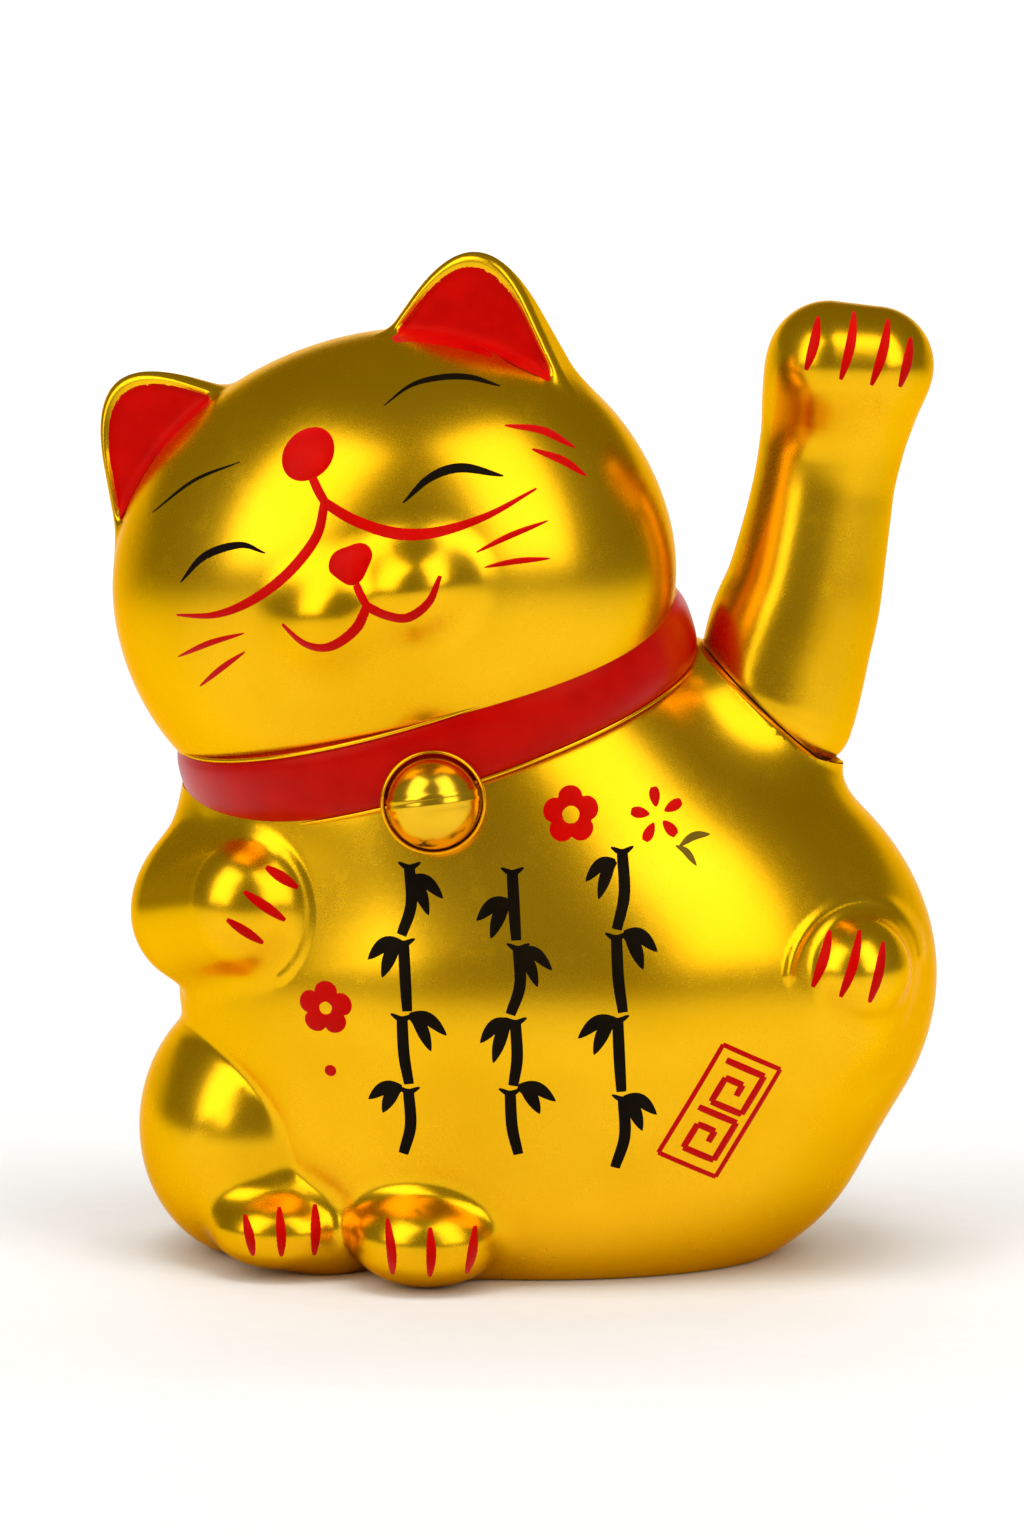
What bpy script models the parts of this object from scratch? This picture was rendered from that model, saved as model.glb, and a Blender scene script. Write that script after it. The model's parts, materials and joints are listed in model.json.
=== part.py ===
"""Beckoning cat figurine with a waving arm, a pendulum drive and a battery bay.

Sizes are named in millimetres, and MM turns them into metres. The cat faces -Y, stands on
z = 0, and waves the arm on its +X side.
"""
import math

import bmesh
import bpy
import numpy as np
from mathutils import Matrix, Vector

MM = 0.001
MERGE = 0.000002        # points closer than this many metres become one after a Boolean
GAP = 0.3               # clearance between neighbouring solids
WALL = 2.4              # body and head shells
ARM_WALL = 1.8          # lighter shell, so that the pendulum can balance the arm
RIM_Z = 0.3             # lower rim of the body shells, just above the resting surface
SPLIT_Y = 2.0           # joint plane between the front and rear body shells
HEAD_SPLIT_Y = 14.0     # the same in the head's own frame, behind the ears
FAR = 400.0             # reach of a half-space cutter

SHOULDER = np.array([68.9, 3.0, 152.5])     # centre of the arm seam, on the shaft's axis
SHAFT_DIR = np.array([0.69, -0.05, 0.722]) / np.linalg.norm([0.69, -0.05, 0.722])
SEAM_RADIUS = 24.9
SEAM_GAP = 0.6
NECK = np.array([-21.8, -4.0, 154.5])
HEAD = np.array([-37.0, -8.0, 197.0])
COLLAR_RADIUS = 57.0
COLLAR_SECTION = (7.0, 10.5)                # half thickness and half height of the ring
COLLAR_STRETCH = 74.0 / 64.0                # the collar is wider than it is deep
COLLAR_GAP = 0.8                            # wider, because the facets of both differ
NECK_PLANE = 1.5                            # shells stop this far from the collar's middle
BELL = np.array([-22.0, -69.0, 133.6])
EAR_Y = 1.0                                  # middle of the ears in the head's frame
MUZZLE = (10.5, -58.5, -9.0)                # middle of the muzzle in the head's frame
HAND_DEPTH = 0.8                             # the hand is deeper than it is tall
HAND_INNER = (85.5, -5.0, 246.4)
HAND_OUTER = (97.9, -5.0, 245.9)
BELL_RADIUS = 12.3
BELL_BACK = 5.5                             # the bell's flat back, behind its centre

PLATE_LOW = 2.0                             # underside of the base plate
PLATE_TOP = 4.6
PAD_SPOTS = ((-38, -21), (-38, 21), (42, -17), (42, 17))
SCREW_SPOTS = ((-16, -29), (-16, 29), (24, -27), (24, 27))
BAY_LOW = (-49.0, -16.0)                    # battery box, seen from above
BAY_HIGH = (13.0, 16.0)
BAY_ROOF = 22.0
COVER_LOW = (-46.5, -14.0)
COVER_HIGH = (10.5, 14.0)
CELL_RADIUS = 7.0
CELL_LENGTH = 50.0
CELL_Z = 12.6
BOARD_LOW = (16.0, -11.0)
BOARD_HIGH = (46.0, 19.0)
BOARD_Z = 7.0
SWITCH = (0.0, -26.0)
SWITCH_TRAVEL = 3.0

LEVER_S = -58.0                             # places along the shaft, from the seam
BUSH_S = -50.0
SHAFT_RADIUS = 2.0
LEVER_Y = 4.2
LEVER_FOOT_Z = 24.0
BOB_Z = (35.0, 47.0)
BOB_RADIUS = 10.0


def turned_frame(about_y, about_x=0.0, about_z=0.0):
    """Axes of a frame turned about Y first, then about its own X and Z, in degrees."""
    turns = ((about_y, "Y"), (about_x, "X"), (about_z, "Z"))
    frame = Matrix.Identity(3)
    for angle, axis in turns:
        frame = frame @ Matrix.Rotation(math.radians(angle), 3, axis)
    return np.array(frame)


NECK_AXES = turned_frame(-17.4, about_x=8.3)
HEAD_AXES = turned_frame(-20.0, about_z=-14.0)
UPRIGHT = np.eye(3)


# ---- rounded forms, as distance fields ------------------------------------------------

def lump(points, centre, radii, axes=UPRIGHT):
    """Signed distance to an ellipsoid, close to exact near its surface."""
    local = (points - np.array(centre)) @ axes
    near = np.linalg.norm(local / np.array(radii), axis=1)
    slope = np.linalg.norm(local / np.square(np.array(radii)), axis=1)
    return near * (near - 1.0) / np.maximum(slope, 1e-9)


def limb(points, start, end, start_radius, end_radius):
    """Signed distance to a rod with round ends whose radius changes along it."""
    start, end = np.array(start), np.array(end)
    line = end - start
    along = np.clip((points - start) @ line / (line @ line), 0.0, 1.0)
    radius = start_radius + (end_radius - start_radius) * along
    return np.linalg.norm(points - start - along[:, None] * line, axis=1) - radius


def blend(first, second, width):
    """Union of two forms with a soft fillet of this width."""
    mix = np.clip(0.5 + 0.5 * (second - first) / width, 0.0, 1.0)
    return second + (first - second) * mix - width * mix * (1.0 - mix)


def keep_common(first, second, width):
    """Common part of two forms with a rounded edge."""
    return -blend(-first, -second, width)


def trunk_form(points):
    """Belly, base, chest and shoulder without the limbs."""
    form = lump(points, (11.6, 2, 76.6), (105, 78, 77.9), turned_frame(-0.7))
    form = blend(form, lump(points, (5.5, 0, 26.6), (83.3, 58, 40.8)), 22)
    form = blend(form, lump(points, (-16.9, 0, 131.5), (75.9, 60, 47.9), turned_frame(-7.4)), 22)
    inner = SHOULDER - 50 * SHAFT_DIR
    return blend(form, limb(points, inner, SHOULDER, 34, SEAM_RADIUS + 0.6), 14)


def body_form(points):
    """Trunk with the thigh, the folded foreleg, the side leg and the tail."""
    form = trunk_form(points)
    form = blend(form, lump(points, (-71.7, 2, 36), (32.9, 46, 38.2), turned_frame(6)), 4)
    form = blend(form, limb(points, (-68, 0, 115.4), (-81.3, -10, 103.4), 19, 20.2), 8)
    form = blend(form, limb(points, (-85, -18, 97), (-72, -41, 102), 20.5, 18), 7)
    form = blend(form, limb(points, (85, 4, 85), (88, -31, 87), 24, 20), 6)
    return blend(form, limb(points, (10, 68.5, 34), (34, 70.5, 46), 14, 11), 5)


def body_hollow_form(points):
    """What the body's cavity follows: the trunk, part of the thigh and the foreleg."""
    form = trunk_form(points)
    form = blend(form, lump(points, (-68, 4, 46), (24, 32, 28)), 8)
    return blend(form, limb(points, (-66, 0, 110), (-74, -8, 99), 16, 15), 8)


def head_form(points):
    """Head with full cheeks and a low muzzle."""
    local = (points - HEAD) @ HEAD_AXES
    form = lump(local, (-1.6, 2, 1.5), (74.2, 64, 56))
    form = blend(form, lump(local, (1.3, -2, -18.3), (76.3, 62, 57.6)), 14)
    across, along, up = MUZZLE
    muzzle = blend(lump(local, (across - 11, along, up), (15, 14, 12)),
                   lump(local, (across + 11, along, up), (15, 14, 12)), 6)
    return blend(form, muzzle, 9)


def ear_outline(local, side, inset, rounding):
    """Distance to the ear's rounded peak, seen from the front in the head's frame."""
    inner_foot = (22.8, 54.3) if side > 0 else (25.9, 54.1)
    outer_foot = (66.4, 28.0) if side > 0 else (68.2, 29.4)
    across = local[:, 0] * side
    up = local[:, 2]
    inner = (across - inner_foot[0]) * -0.57 + (up - inner_foot[1]) * 0.82 + inset
    outer = (across - outer_foot[0]) * 0.99 + (up - outer_foot[1]) * 0.13 + inset
    return keep_common(inner, outer, rounding)


def ear_form(points, side):
    """One ear: a peaked plate that thickens towards the head."""
    local = (points - HEAD) @ HEAD_AXES
    half = 3.2 + 0.16 * np.clip(72 - local[:, 2], 0, 60)
    form = keep_common(ear_outline(local, side, 0.0, 30.0), np.abs(local[:, 1] - EAR_Y) - half, 5)
    return keep_common(form, 20.0 - local[:, 2], 3)


def ear_recess_form(points, side):
    """The red hollow in the front of an ear."""
    local = (points - HEAD) @ HEAD_AXES
    half = 3.2 + 0.16 * np.clip(72 - local[:, 2], 0, 60)
    depth = np.abs(local[:, 1] - EAR_Y + 1 + half) - 5.0
    recess = keep_common(ear_outline(local, side, 4.0, 26.0), depth, 2)
    return keep_common(recess, 0.5 - head_form(points), 2)


ARM_STATIONS = ((68.9, 152.5, 25.4), (71.6, 159.5, 24.4), (74.6, 169.1, 23.4), (78.6, 180.7, 21.9),
                (81.2, 192.6, 20.7), (83.5, 204.8, 19.8), (85.3, 215.6, 19.4), (87.9, 229.3, 20.2))


def arm_form(points):
    """Raised arm: a bent tapering limb with a wide hand, narrowed towards the seam."""
    form = None
    for (x0, z0, radius), (x1, z1, next_radius) in zip(ARM_STATIONS, ARM_STATIONS[1:]):
        piece = limb(points, (x0, 5.0, z0), (x1, 5.0, z1), radius, next_radius)
        form = piece if form is None else np.minimum(form, piece)
    flatter = np.array([1.0, HAND_DEPTH, 1.0])
    hand = limb(points * flatter, np.array(HAND_INNER) * flatter, np.array(HAND_OUTER) * flatter,
                17.2, 16.2)
    form = blend(form, hand, 7)
    offset = points - SHOULDER
    height = offset @ SHAFT_DIR
    off_axis = np.linalg.norm(offset - height[:, None] * SHAFT_DIR, axis=1)
    return keep_common(form, (off_axis - SEAM_RADIUS - 0.8 * height) * 0.78, 5)


# ---- solids ---------------------------------------------------------------------------

def clear_scene():
    for obj in list(bpy.data.objects):
        bpy.data.objects.remove(obj)


def finish(name, colour, roughness, metallic=0.0):
    """A plain Principled material."""
    material = bpy.data.materials.new(name)
    material.use_nodes = True
    shader = material.node_tree.nodes["Principled BSDF"]
    shader.inputs["Base Color"].default_value = (*colour, 1.0)
    shader.inputs["Roughness"].default_value = roughness
    shader.inputs["Metallic"].default_value = metallic
    return material


def add_object(name, bm, material=None):
    """Turn a bmesh in millimetres into an object in metres; without a material it is a tool."""
    bmesh.ops.recalc_face_normals(bm, faces=bm.faces)
    if bm.calc_volume(signed=True) < 0:
        bmesh.ops.reverse_faces(bm, faces=bm.faces)
    bm.transform(Matrix.Scale(MM, 4))
    mesh = bpy.data.meshes.new(name)
    bm.to_mesh(mesh)
    bm.free()
    obj = bpy.data.objects.new(name, mesh)
    bpy.context.scene.collection.objects.link(obj)
    if material is None:
        obj.hide_render = True
        obj.display_type = "WIRE"
    else:
        mesh.materials.append(material)
    return obj


def frame_along(axis, origin):
    """Matrix whose local Z runs along axis from origin."""
    turn = Vector(axis).to_track_quat("Z", "Y").to_matrix().to_4x4()
    return Matrix.Translation(Vector(origin)) @ turn


def turned(name, profile, material=None, origin=(0, 0, 0), axis=(0, 0, 1), steps=16):
    """Revolve (radius, height) points about axis; a profile off the axis closes on itself."""
    bm = bmesh.new()
    verts = [bm.verts.new((radius, 0, height)) for radius, height in profile]
    edges = [bm.edges.new(pair) for pair in zip(verts, verts[1:])]
    if profile[0][0] > 0:
        edges.append(bm.edges.new((verts[-1], verts[0])))
    bmesh.ops.spin(bm, geom=verts + edges, cent=(0, 0, 0), axis=(0, 0, 1), dvec=(0, 0, 0),
                   angle=2 * math.pi, steps=steps, use_merge=False)
    bmesh.ops.remove_doubles(bm, verts=bm.verts, dist=0.001)
    bm.transform(frame_along(axis, origin))
    return add_object(name, bm, material)


def rod(name, radius, length, material=None, origin=(0, 0, 0), axis=(0, 0, 1), steps=16):
    """Plain cylinder that starts at origin and runs along axis."""
    profile = [(0, 0), (radius, 0), (radius, length), (0, length)]
    return turned(name, profile, material, origin, axis, steps)


def tube(name, inner, outer, length, material=None, origin=(0, 0, 0), axis=(0, 0, 1), steps=16):
    profile = [(inner, 0), (outer, 0), (outer, length), (inner, length)]
    return turned(name, profile, material, origin, axis, steps)


def block(name, low, high, material=None, bevel=0.0, frame=None):
    """Box between two corners, optionally with bevelled edges and in a turned frame."""
    bm = bmesh.new()
    bmesh.ops.create_cube(bm, size=1.0)
    size = Vector(high) - Vector(low)
    middle = (Vector(high) + Vector(low)) / 2
    bm.transform(Matrix.Translation(middle) @ Matrix.Diagonal((*size, 1.0)))
    if bevel > 0:
        bmesh.ops.bevel(bm, geom=bm.edges, offset=bevel, segments=1, affect="EDGES")
    if frame is not None:
        bm.transform(frame)
    return add_object(name, bm, material)


def ball(name, centre, radii, material=None, axes=UPRIGHT, segments=20, rings=14):
    bm = bmesh.new()
    bmesh.ops.create_uvsphere(bm, u_segments=segments, v_segments=rings, radius=1.0)
    turn = Matrix(axes.tolist()).to_4x4()
    bm.transform(Matrix.Translation(Vector(centre)) @ turn @ Matrix.Diagonal((*radii, 1.0)))
    return add_object(name, bm, material)


def wrapped(name, form, level, core, material=None, segments=48, rings=30, reach=150.0):
    """Sphere whose points are drawn in, along their rays from the core, until form == level."""
    bm = bmesh.new()
    bmesh.ops.create_uvsphere(bm, u_segments=segments, v_segments=rings, radius=1.0)
    rays = np.array([vert.co[:] for vert in bm.verts])
    low, high = np.array(core[0], float), np.array(core[-1], float)
    start = low + (high - low) * (0.5 + 0.5 * rays[:, 2:3])
    outside = np.full(len(rays), reach)
    inside = np.zeros(len(rays))
    found = np.zeros(len(rays), bool)
    for distance in np.linspace(reach, 0.0, 200):
        hit = (form(start + rays * distance) < level) & ~found
        inside[hit] = distance
        found |= hit
        outside[~found] = distance
    for _ in range(24):
        middle = (inside + outside) / 2
        solid = form(start + rays * middle[:, None]) < level
        inside = np.where(solid, middle, inside)
        outside = np.where(solid, outside, middle)
    for vert, point in zip(bm.verts, start + rays * inside[:, None]):
        vert.co = Vector(point)
    return add_object(name, bm, material)


def settle(obj):
    """Replace an object's mesh by what its modifiers make of it."""
    graph = bpy.context.evaluated_depsgraph_get()
    mesh = bpy.data.meshes.new_from_object(obj.evaluated_get(graph))
    bm = bmesh.new()
    bm.from_mesh(mesh)
    bmesh.ops.remove_doubles(bm, verts=bm.verts, dist=MERGE)
    bmesh.ops.dissolve_degenerate(bm, edges=bm.edges, dist=MERGE)
    bm.to_mesh(mesh)
    bm.free()
    obj.modifiers.clear()
    obj.data = mesh


def combine(target, tool, operation="DIFFERENCE", keep_tool=False):
    """Boolean with the exact solver; the tool is removed unless it is needed again."""
    modifier = target.modifiers.new("combine", "BOOLEAN")
    modifier.solver = "EXACT"
    modifier.operation = operation
    modifier.object = tool
    settle(target)
    if not keep_tool:
        bpy.data.objects.remove(tool)
    return target


def copy_of(obj, name):
    twin = obj.copy()
    twin.data = obj.data.copy()
    twin.name = name
    bpy.context.scene.collection.objects.link(twin)
    return twin


def beyond(point, axis):
    """Cutter that fills the half-space on the far side of a plane."""
    frame = frame_along(axis, point)
    return block("half_space", (-FAR, -FAR, 0), (FAR, FAR, 2 * FAR), frame=frame)


def smooth(obj, angle=40.0):
    obj.data.shade_smooth()
    obj.data.set_sharp_from_angle(angle=math.radians(angle))
    return obj


def split(solid, names, point, axis, material):
    """Cut a solid into two named halves that stay GAP apart."""
    point, axis = np.array(point, float), np.array(axis, float)
    halves = []
    for name, sense in zip(names, (1, -1)):
        half = copy_of(solid, name)
        combine(half, beyond(point - sense * axis * GAP / 2, axis * sense))
        half.data.materials.clear()
        half.data.materials.append(material)
        half.hide_render = False
        half.display_type = "TEXTURED"
        halves.append(smooth(half))
    bpy.data.objects.remove(solid)
    return halves


def at_shaft(place):
    """Point on the shaft's axis, this far out from the arm seam."""
    return SHOULDER + SHAFT_DIR * place


# ---- casing ---------------------------------------------------------------------------

def bell_pocket():
    start = BELL + np.array([0, BELL_BACK + 2 * GAP, 0])
    return rod("pocket", 14.6, 40, origin=start, axis=(0, -1, 0), steps=32)


def screw_posts():
    """Posts for the base screws and the pivot bracket, tied to the wall by ribs."""
    posts = block("posts", (12, 54, 98), (46, 56, 112))
    for x in (20, 38):
        combine(posts, rod("post", 4.5, 40, origin=(x, 54.6, 105), axis=(0, 1, 0), steps=12),
                "UNION")
    for x, y in SCREW_SPOTS:
        combine(posts, rod("post", 4.0, 12, origin=(x, y, PLATE_TOP + GAP), steps=12), "UNION")
        reach = y + math.copysign(45, y)
        low = (x - 1.5, min(y, reach), PLATE_TOP + 2 * GAP)
        high = (x + 1.5, max(y, reach), PLATE_TOP + 11)
        combine(posts, block("rib", low, high), "UNION")
    return posts


def make_body(gold):
    outer = wrapped("body", body_form, 0.0, [(5, 0, 84)], segments=40, rings=26)
    lumps = (((-61.5, -38, 15), (16.5, 21, 12.5)),
             ((-24, -49, 14.5), (22.5, 25, 14.5)),
             ((88, -46, 86), (15.5, 18, 15)))
    for centre, radii in lumps:
        combine(outer, ball("paw", centre, radii, segments=16, rings=10), "UNION")
    hollow = wrapped("hollow", body_hollow_form, -WALL, [(5, 0, 84)], segments=28, rings=18)
    stump_top = rod("top", 45, 60, origin=at_shaft(-WALL), axis=SHAFT_DIR, steps=32)
    combine(hollow, stump_top)
    combine(hollow, screw_posts())
    combine(outer, hollow)
    neck_up = NECK_AXES[:, 2]
    combine(outer, beyond(NECK - neck_up * NECK_PLANE, neck_up))
    combine(outer, beyond((0, 0, RIM_Z), (0, 0, -1)))
    combine(outer, rod("swing", SEAM_RADIUS + 2, 60, origin=SHOULDER, axis=SHAFT_DIR, steps=48))
    combine(outer, rod("bush_hole", 4.6, 20, origin=at_shaft(-12), axis=SHAFT_DIR))
    combine(outer, bell_pocket())
    for x, y in SCREW_SPOTS:
        combine(outer, rod("screw_hole", 1.6, 14, origin=(x, y, RIM_Z), steps=12))
    for x in (20, 38):
        combine(outer, rod("screw_hole", 1.6, 12, origin=(x, 52, 105), axis=(0, 1, 0), steps=12))
    names = ("body_front_shell", "body_rear_shell")
    split(outer, names, (0, SPLIT_Y, 0), (0, 1, 0), gold)


def make_head(gold):
    outer = wrapped("head", head_form, 0.0, [HEAD], segments=32, rings=20)
    for side in (-1, 1):
        heart = HEAD + HEAD_AXES @ np.array([45 * side, EAR_Y, 45])
        ear = wrapped("ear", lambda p: ear_form(p, side), 0.0, [heart], segments=16, rings=10)
        combine(outer, ear, "UNION")
        heart = HEAD + HEAD_AXES @ np.array([43 * side, EAR_Y - 9, 54])
        combine(outer, wrapped("recess", lambda p: ear_recess_form(p, side), 0.0, [heart],
                               segments=14, rings=8))
    combine(outer, wrapped("hollow", head_form, -WALL, [HEAD], segments=20, rings=12))
    neck_up = NECK_AXES[:, 2]
    combine(outer, beyond(NECK + neck_up * NECK_PLANE, -neck_up))
    names = ("head_front_shell", "head_rear_shell")
    split(outer, names, HEAD + HEAD_AXES[:, 1] * HEAD_SPLIT_Y, HEAD_AXES[:, 1], gold)


def make_collar(red):
    """Red ring between head and body, with a tongue that reaches between their rims."""
    thick, high = COLLAR_SECTION
    turns = [2 * math.pi * step / 10 for step in range(10)]
    profile = [(COLLAR_RADIUS + thick * math.cos(t), high * math.sin(t)) for t in turns]
    collar = turned("collar", profile, red, steps=40)
    stretch = Matrix.Diagonal((COLLAR_STRETCH, 1, 1, 1))
    place = Matrix.Translation(Vector(NECK * MM)) @ Matrix(NECK_AXES.tolist()).to_4x4()
    collar.data.transform(place @ stretch)
    neck_up = NECK_AXES[:, 2]
    lower = wrapped("lower", body_form, COLLAR_GAP, [(5, 0, 84)], segments=40, rings=26)
    combine(lower, beyond(NECK - neck_up * (NECK_PLANE - GAP), neck_up))
    combine(collar, lower)
    upper = wrapped("upper", head_form, COLLAR_GAP, [HEAD], segments=32, rings=20)
    combine(upper, beyond(NECK + neck_up * (NECK_PLANE - GAP), -neck_up))
    combine(collar, upper)
    combine(collar, bell_pocket())
    smooth(collar)


def make_bell(gold, bright):
    """Round bell with a raised double band, seated in a ring at the collar."""
    depth = BELL_BACK - (BELL_RADIUS - 12.0)
    tube("bell_seat", BELL_RADIUS + 0.5, 14.1, depth + 0.5, gold,
         BELL + np.array([0, BELL_BACK, 0]), (0, -1, 0), 24)
    bell = ball("bell", BELL, (BELL_RADIUS,) * 3, bright, segments=20, rings=12)
    band_axes = turned_frame(9.0)
    for offset in (-1.6, 1.6):
        band = [(9.0, offset - 0.7), (BELL_RADIUS + 0.1, offset - 0.7),
                (BELL_RADIUS + 0.1, offset + 0.7), (9.0, offset + 0.7)]
        combine(bell, turned("band", band, origin=BELL, axis=band_axes[:, 2], steps=20), "UNION")
    combine(bell, beyond(BELL + np.array([0, BELL_BACK, 0]), (0, 1, 0)))
    smooth(bell, 30)


# ---- waving arm and its drive ---------------------------------------------------------

def make_arm(gold):
    core = [(73, 4, 160), (90, -1, 246)]
    outer = wrapped("arm", arm_form, 0.0, core, segments=20, rings=16, reach=60)
    hollow = wrapped("hollow", arm_form, -ARM_WALL, core, segments=20, rings=16, reach=60)
    floor = SEAM_GAP + ARM_WALL
    combine(hollow, beyond(at_shaft(floor), -SHAFT_DIR))
    combine(outer, hollow)
    combine(outer, beyond(at_shaft(SEAM_GAP), -SHAFT_DIR))
    combine(outer, rod("shaft_hole", 2.4, 20, origin=at_shaft(-10), axis=SHAFT_DIR))
    split(outer, ("arm_front_shell", "arm_rear_shell"), (0, 3.5, 0), (0, 1, 0), gold)
    hub_start = at_shaft(floor + GAP)
    hub = [(SHAFT_RADIUS + GAP, 0), (15, 0), (15, 3), (6, 3), (6, 9), (SHAFT_RADIUS + GAP, 9)]
    return turned("arm_hub", hub, PLASTIC_GREY, hub_start, SHAFT_DIR)


def make_shaft(steel):
    length = 12 + 63
    chamfer = 0.4
    profile = [(0, 0), (SHAFT_RADIUS - chamfer, 0), (SHAFT_RADIUS, chamfer),
               (SHAFT_RADIUS, length - chamfer), (SHAFT_RADIUS - chamfer, length), (0, length)]
    turned("arm_shaft", profile, steel, at_shaft(-63), SHAFT_DIR, 16)
    tube("shaft_clip", SHAFT_RADIUS + GAP, 4.5, 0.8, steel, at_shaft(-45.5), SHAFT_DIR, 16)


def make_bushes(nylon):
    """Two flanged bushes: one under the shoulder face, one in the pivot bracket."""
    inner = SHAFT_RADIUS + GAP
    shoulder = [(inner, 0), (6.5, 0), (6.5, 1.5), (4.3, 1.5), (4.3, 1.5 + WALL), (inner, 1.5 + WALL)]
    start = at_shaft(-WALL - 1.5 - GAP)
    turned("shoulder_bush", shoulder, nylon, start, SHAFT_DIR)
    inner_bush = [(inner, 0), (4.2, 0), (4.2, 3.6), (5.8, 3.6), (5.8, 4.8), (inner, 4.8)]
    turned("inner_bush", inner_bush, nylon, at_shaft(BUSH_S - 1.8), SHAFT_DIR)


def make_bracket(grey):
    """Arm from the rear wall's posts to the inner bush, square to the shaft."""
    sideways = np.cross((0, 0, 1), SHAFT_DIR)
    sideways /= np.linalg.norm(sideways)
    upwards = np.cross(SHAFT_DIR, sideways)
    axes = Matrix(np.array([sideways, upwards, SHAFT_DIR]).T.tolist()).to_4x4()
    frame = Matrix.Translation(Vector(at_shaft(BUSH_S))) @ axes
    bracket = block("pivot_bracket", (-8, -7, -1.5), (45.5, 7, 1.5), grey, frame=frame)
    combine(bracket, block("foot", (13, 50.6, 98), (45, 53.6, 116)), "UNION")
    combine(bracket, rod("hole", 4.5, 12, origin=at_shaft(BUSH_S - 6), axis=SHAFT_DIR))
    for x in (20, 38):
        hole = rod("hole", 1.6, 10, origin=(x, 48, 105), axis=(0, 1, 0), steps=12)
        combine(bracket, hole)


def make_pendulum(grey, steel, dark):
    """Lever that hangs from the shaft, with the bob that balances the arm, and a magnet."""
    foot = at_shaft(LEVER_S)
    lever = rod("pendulum_lever", 5.0, 8, grey, at_shaft(LEVER_S - 4), SHAFT_DIR, 20)
    x = foot[0]
    bar = block("bar", (x - 3, LEVER_Y - 1.5, LEVER_FOOT_Z), (x + 3, LEVER_Y + 1.5, foot[2]))
    combine(lever, bar, "UNION")
    plate = rod("plate", 6.5, 1.5, origin=(x, LEVER_Y, LEVER_FOOT_Z), steps=20)
    combine(lever, plate, "UNION")
    hole = rod("hole", SHAFT_RADIUS + GAP, 40, origin=at_shaft(LEVER_S - 20), axis=SHAFT_DIR)
    combine(lever, hole)
    bob = turned("pendulum_weight",
                 [(0, 0), (BOB_RADIUS - 1, 0), (BOB_RADIUS, 1), (BOB_RADIUS, BOB_Z[1] - BOB_Z[0] - 1),
                  (BOB_RADIUS - 1, BOB_Z[1] - BOB_Z[0]), (0, BOB_Z[1] - BOB_Z[0])],
                 steel, (x, LEVER_Y, BOB_Z[0]))
    slot = block("slot", (x - 3 - GAP, LEVER_Y - 1.5 - GAP, BOB_Z[0] - 5),
                 (x + 3 + GAP, LEVER_Y + 1.5 + GAP, BOB_Z[1] + 5))
    combine(bob, slot)
    rod("pendulum_magnet", 6.0, 5.0, dark, (x, LEVER_Y, LEVER_FOOT_Z - GAP - 5))


# ---- base, battery bay and electronics ------------------------------------------------

def plate_outline(count=36, clearance=1.3):
    """Points on the inside of the shell's rim, drawn in by a clearance."""
    level = -WALL - clearance
    points = []
    for step in range(count):
        angle = 2 * math.pi * step / count
        ray = np.array([math.cos(angle), math.sin(angle), 0.0])
        reach = np.linspace(90, 20, 1400)[:, None]
        line = np.array([2.0, 0.0, PLATE_LOW]) + ray * reach
        inside = np.argmax(body_hollow_form(line) < level)
        points.append(line[inside])
    return points


def make_base_plate(grey):
    bm = bmesh.new()
    face = bm.faces.new([bm.verts.new(point) for point in plate_outline()])
    grown = bmesh.ops.extrude_face_region(bm, geom=[face])
    lifted = [item for item in grown["geom"] if isinstance(item, bmesh.types.BMVert)]
    bmesh.ops.translate(bm, verts=lifted, vec=(0, 0, PLATE_TOP - PLATE_LOW))
    plate = add_object("base_plate", bm, grey)
    for x, y in ((18.5, -8.5), (43.5, 16.5)):
        combine(plate, rod("stud", 2.0, BOARD_Z - GAP - PLATE_LOW - 1, origin=(x, y, PLATE_LOW + 1),
                           steps=12), "UNION")
    gap = np.array([GAP, GAP])
    low, high = np.array(COVER_LOW) - gap, np.array(COVER_HIGH) + gap
    combine(plate, block("hatch", (*low, 0), (*high, 10)))
    for x, y in SCREW_SPOTS:
        combine(plate, rod("hole", 1.7, 10, origin=(x, y, 0), steps=16))
        combine(plate, rod("counterbore", 3.4, 1.5, origin=(x, y, PLATE_LOW - 0.5), steps=16))
    x, y = SWITCH
    combine(plate, block("slot", (x - 4.2, y - 1.9, 0), (x + 4.2, y + 1.9, 10)))


def make_base_hardware(rubber, steel):
    for index, (x, y) in enumerate(PAD_SPOTS, 1):
        profile = [(0, 0), (4.5, 0), (5, 0.5), (5, PLATE_LOW - GAP), (0, PLATE_LOW - GAP)]
        turned(f"foot_pad_{index}", profile, rubber, (x, y, 0), steps=16)
    for index, (x, y) in enumerate(SCREW_SPOTS, 1):
        head = PLATE_LOW + 1.0 - GAP
        profile = [(0, 0), (3, 0), (3, 1.4), (1.3, 1.4), (1.3, 11), (0.3, 12.5), (0, 12.5)]
        turned(f"base_screw_{index}", profile, steel, (x, y, head - 1.4), steps=12)
    for index, x in enumerate((20, 38), 1):
        profile = [(0, 0), (2.8, 0), (2.8, 1.4), (1.3, 1.4), (1.3, 9), (0, 9)]
        turned(f"bracket_screw_{index}", profile, steel, (x, 50.6 - 1.4 - GAP, 105), (0, 1, 0), 12)


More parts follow.
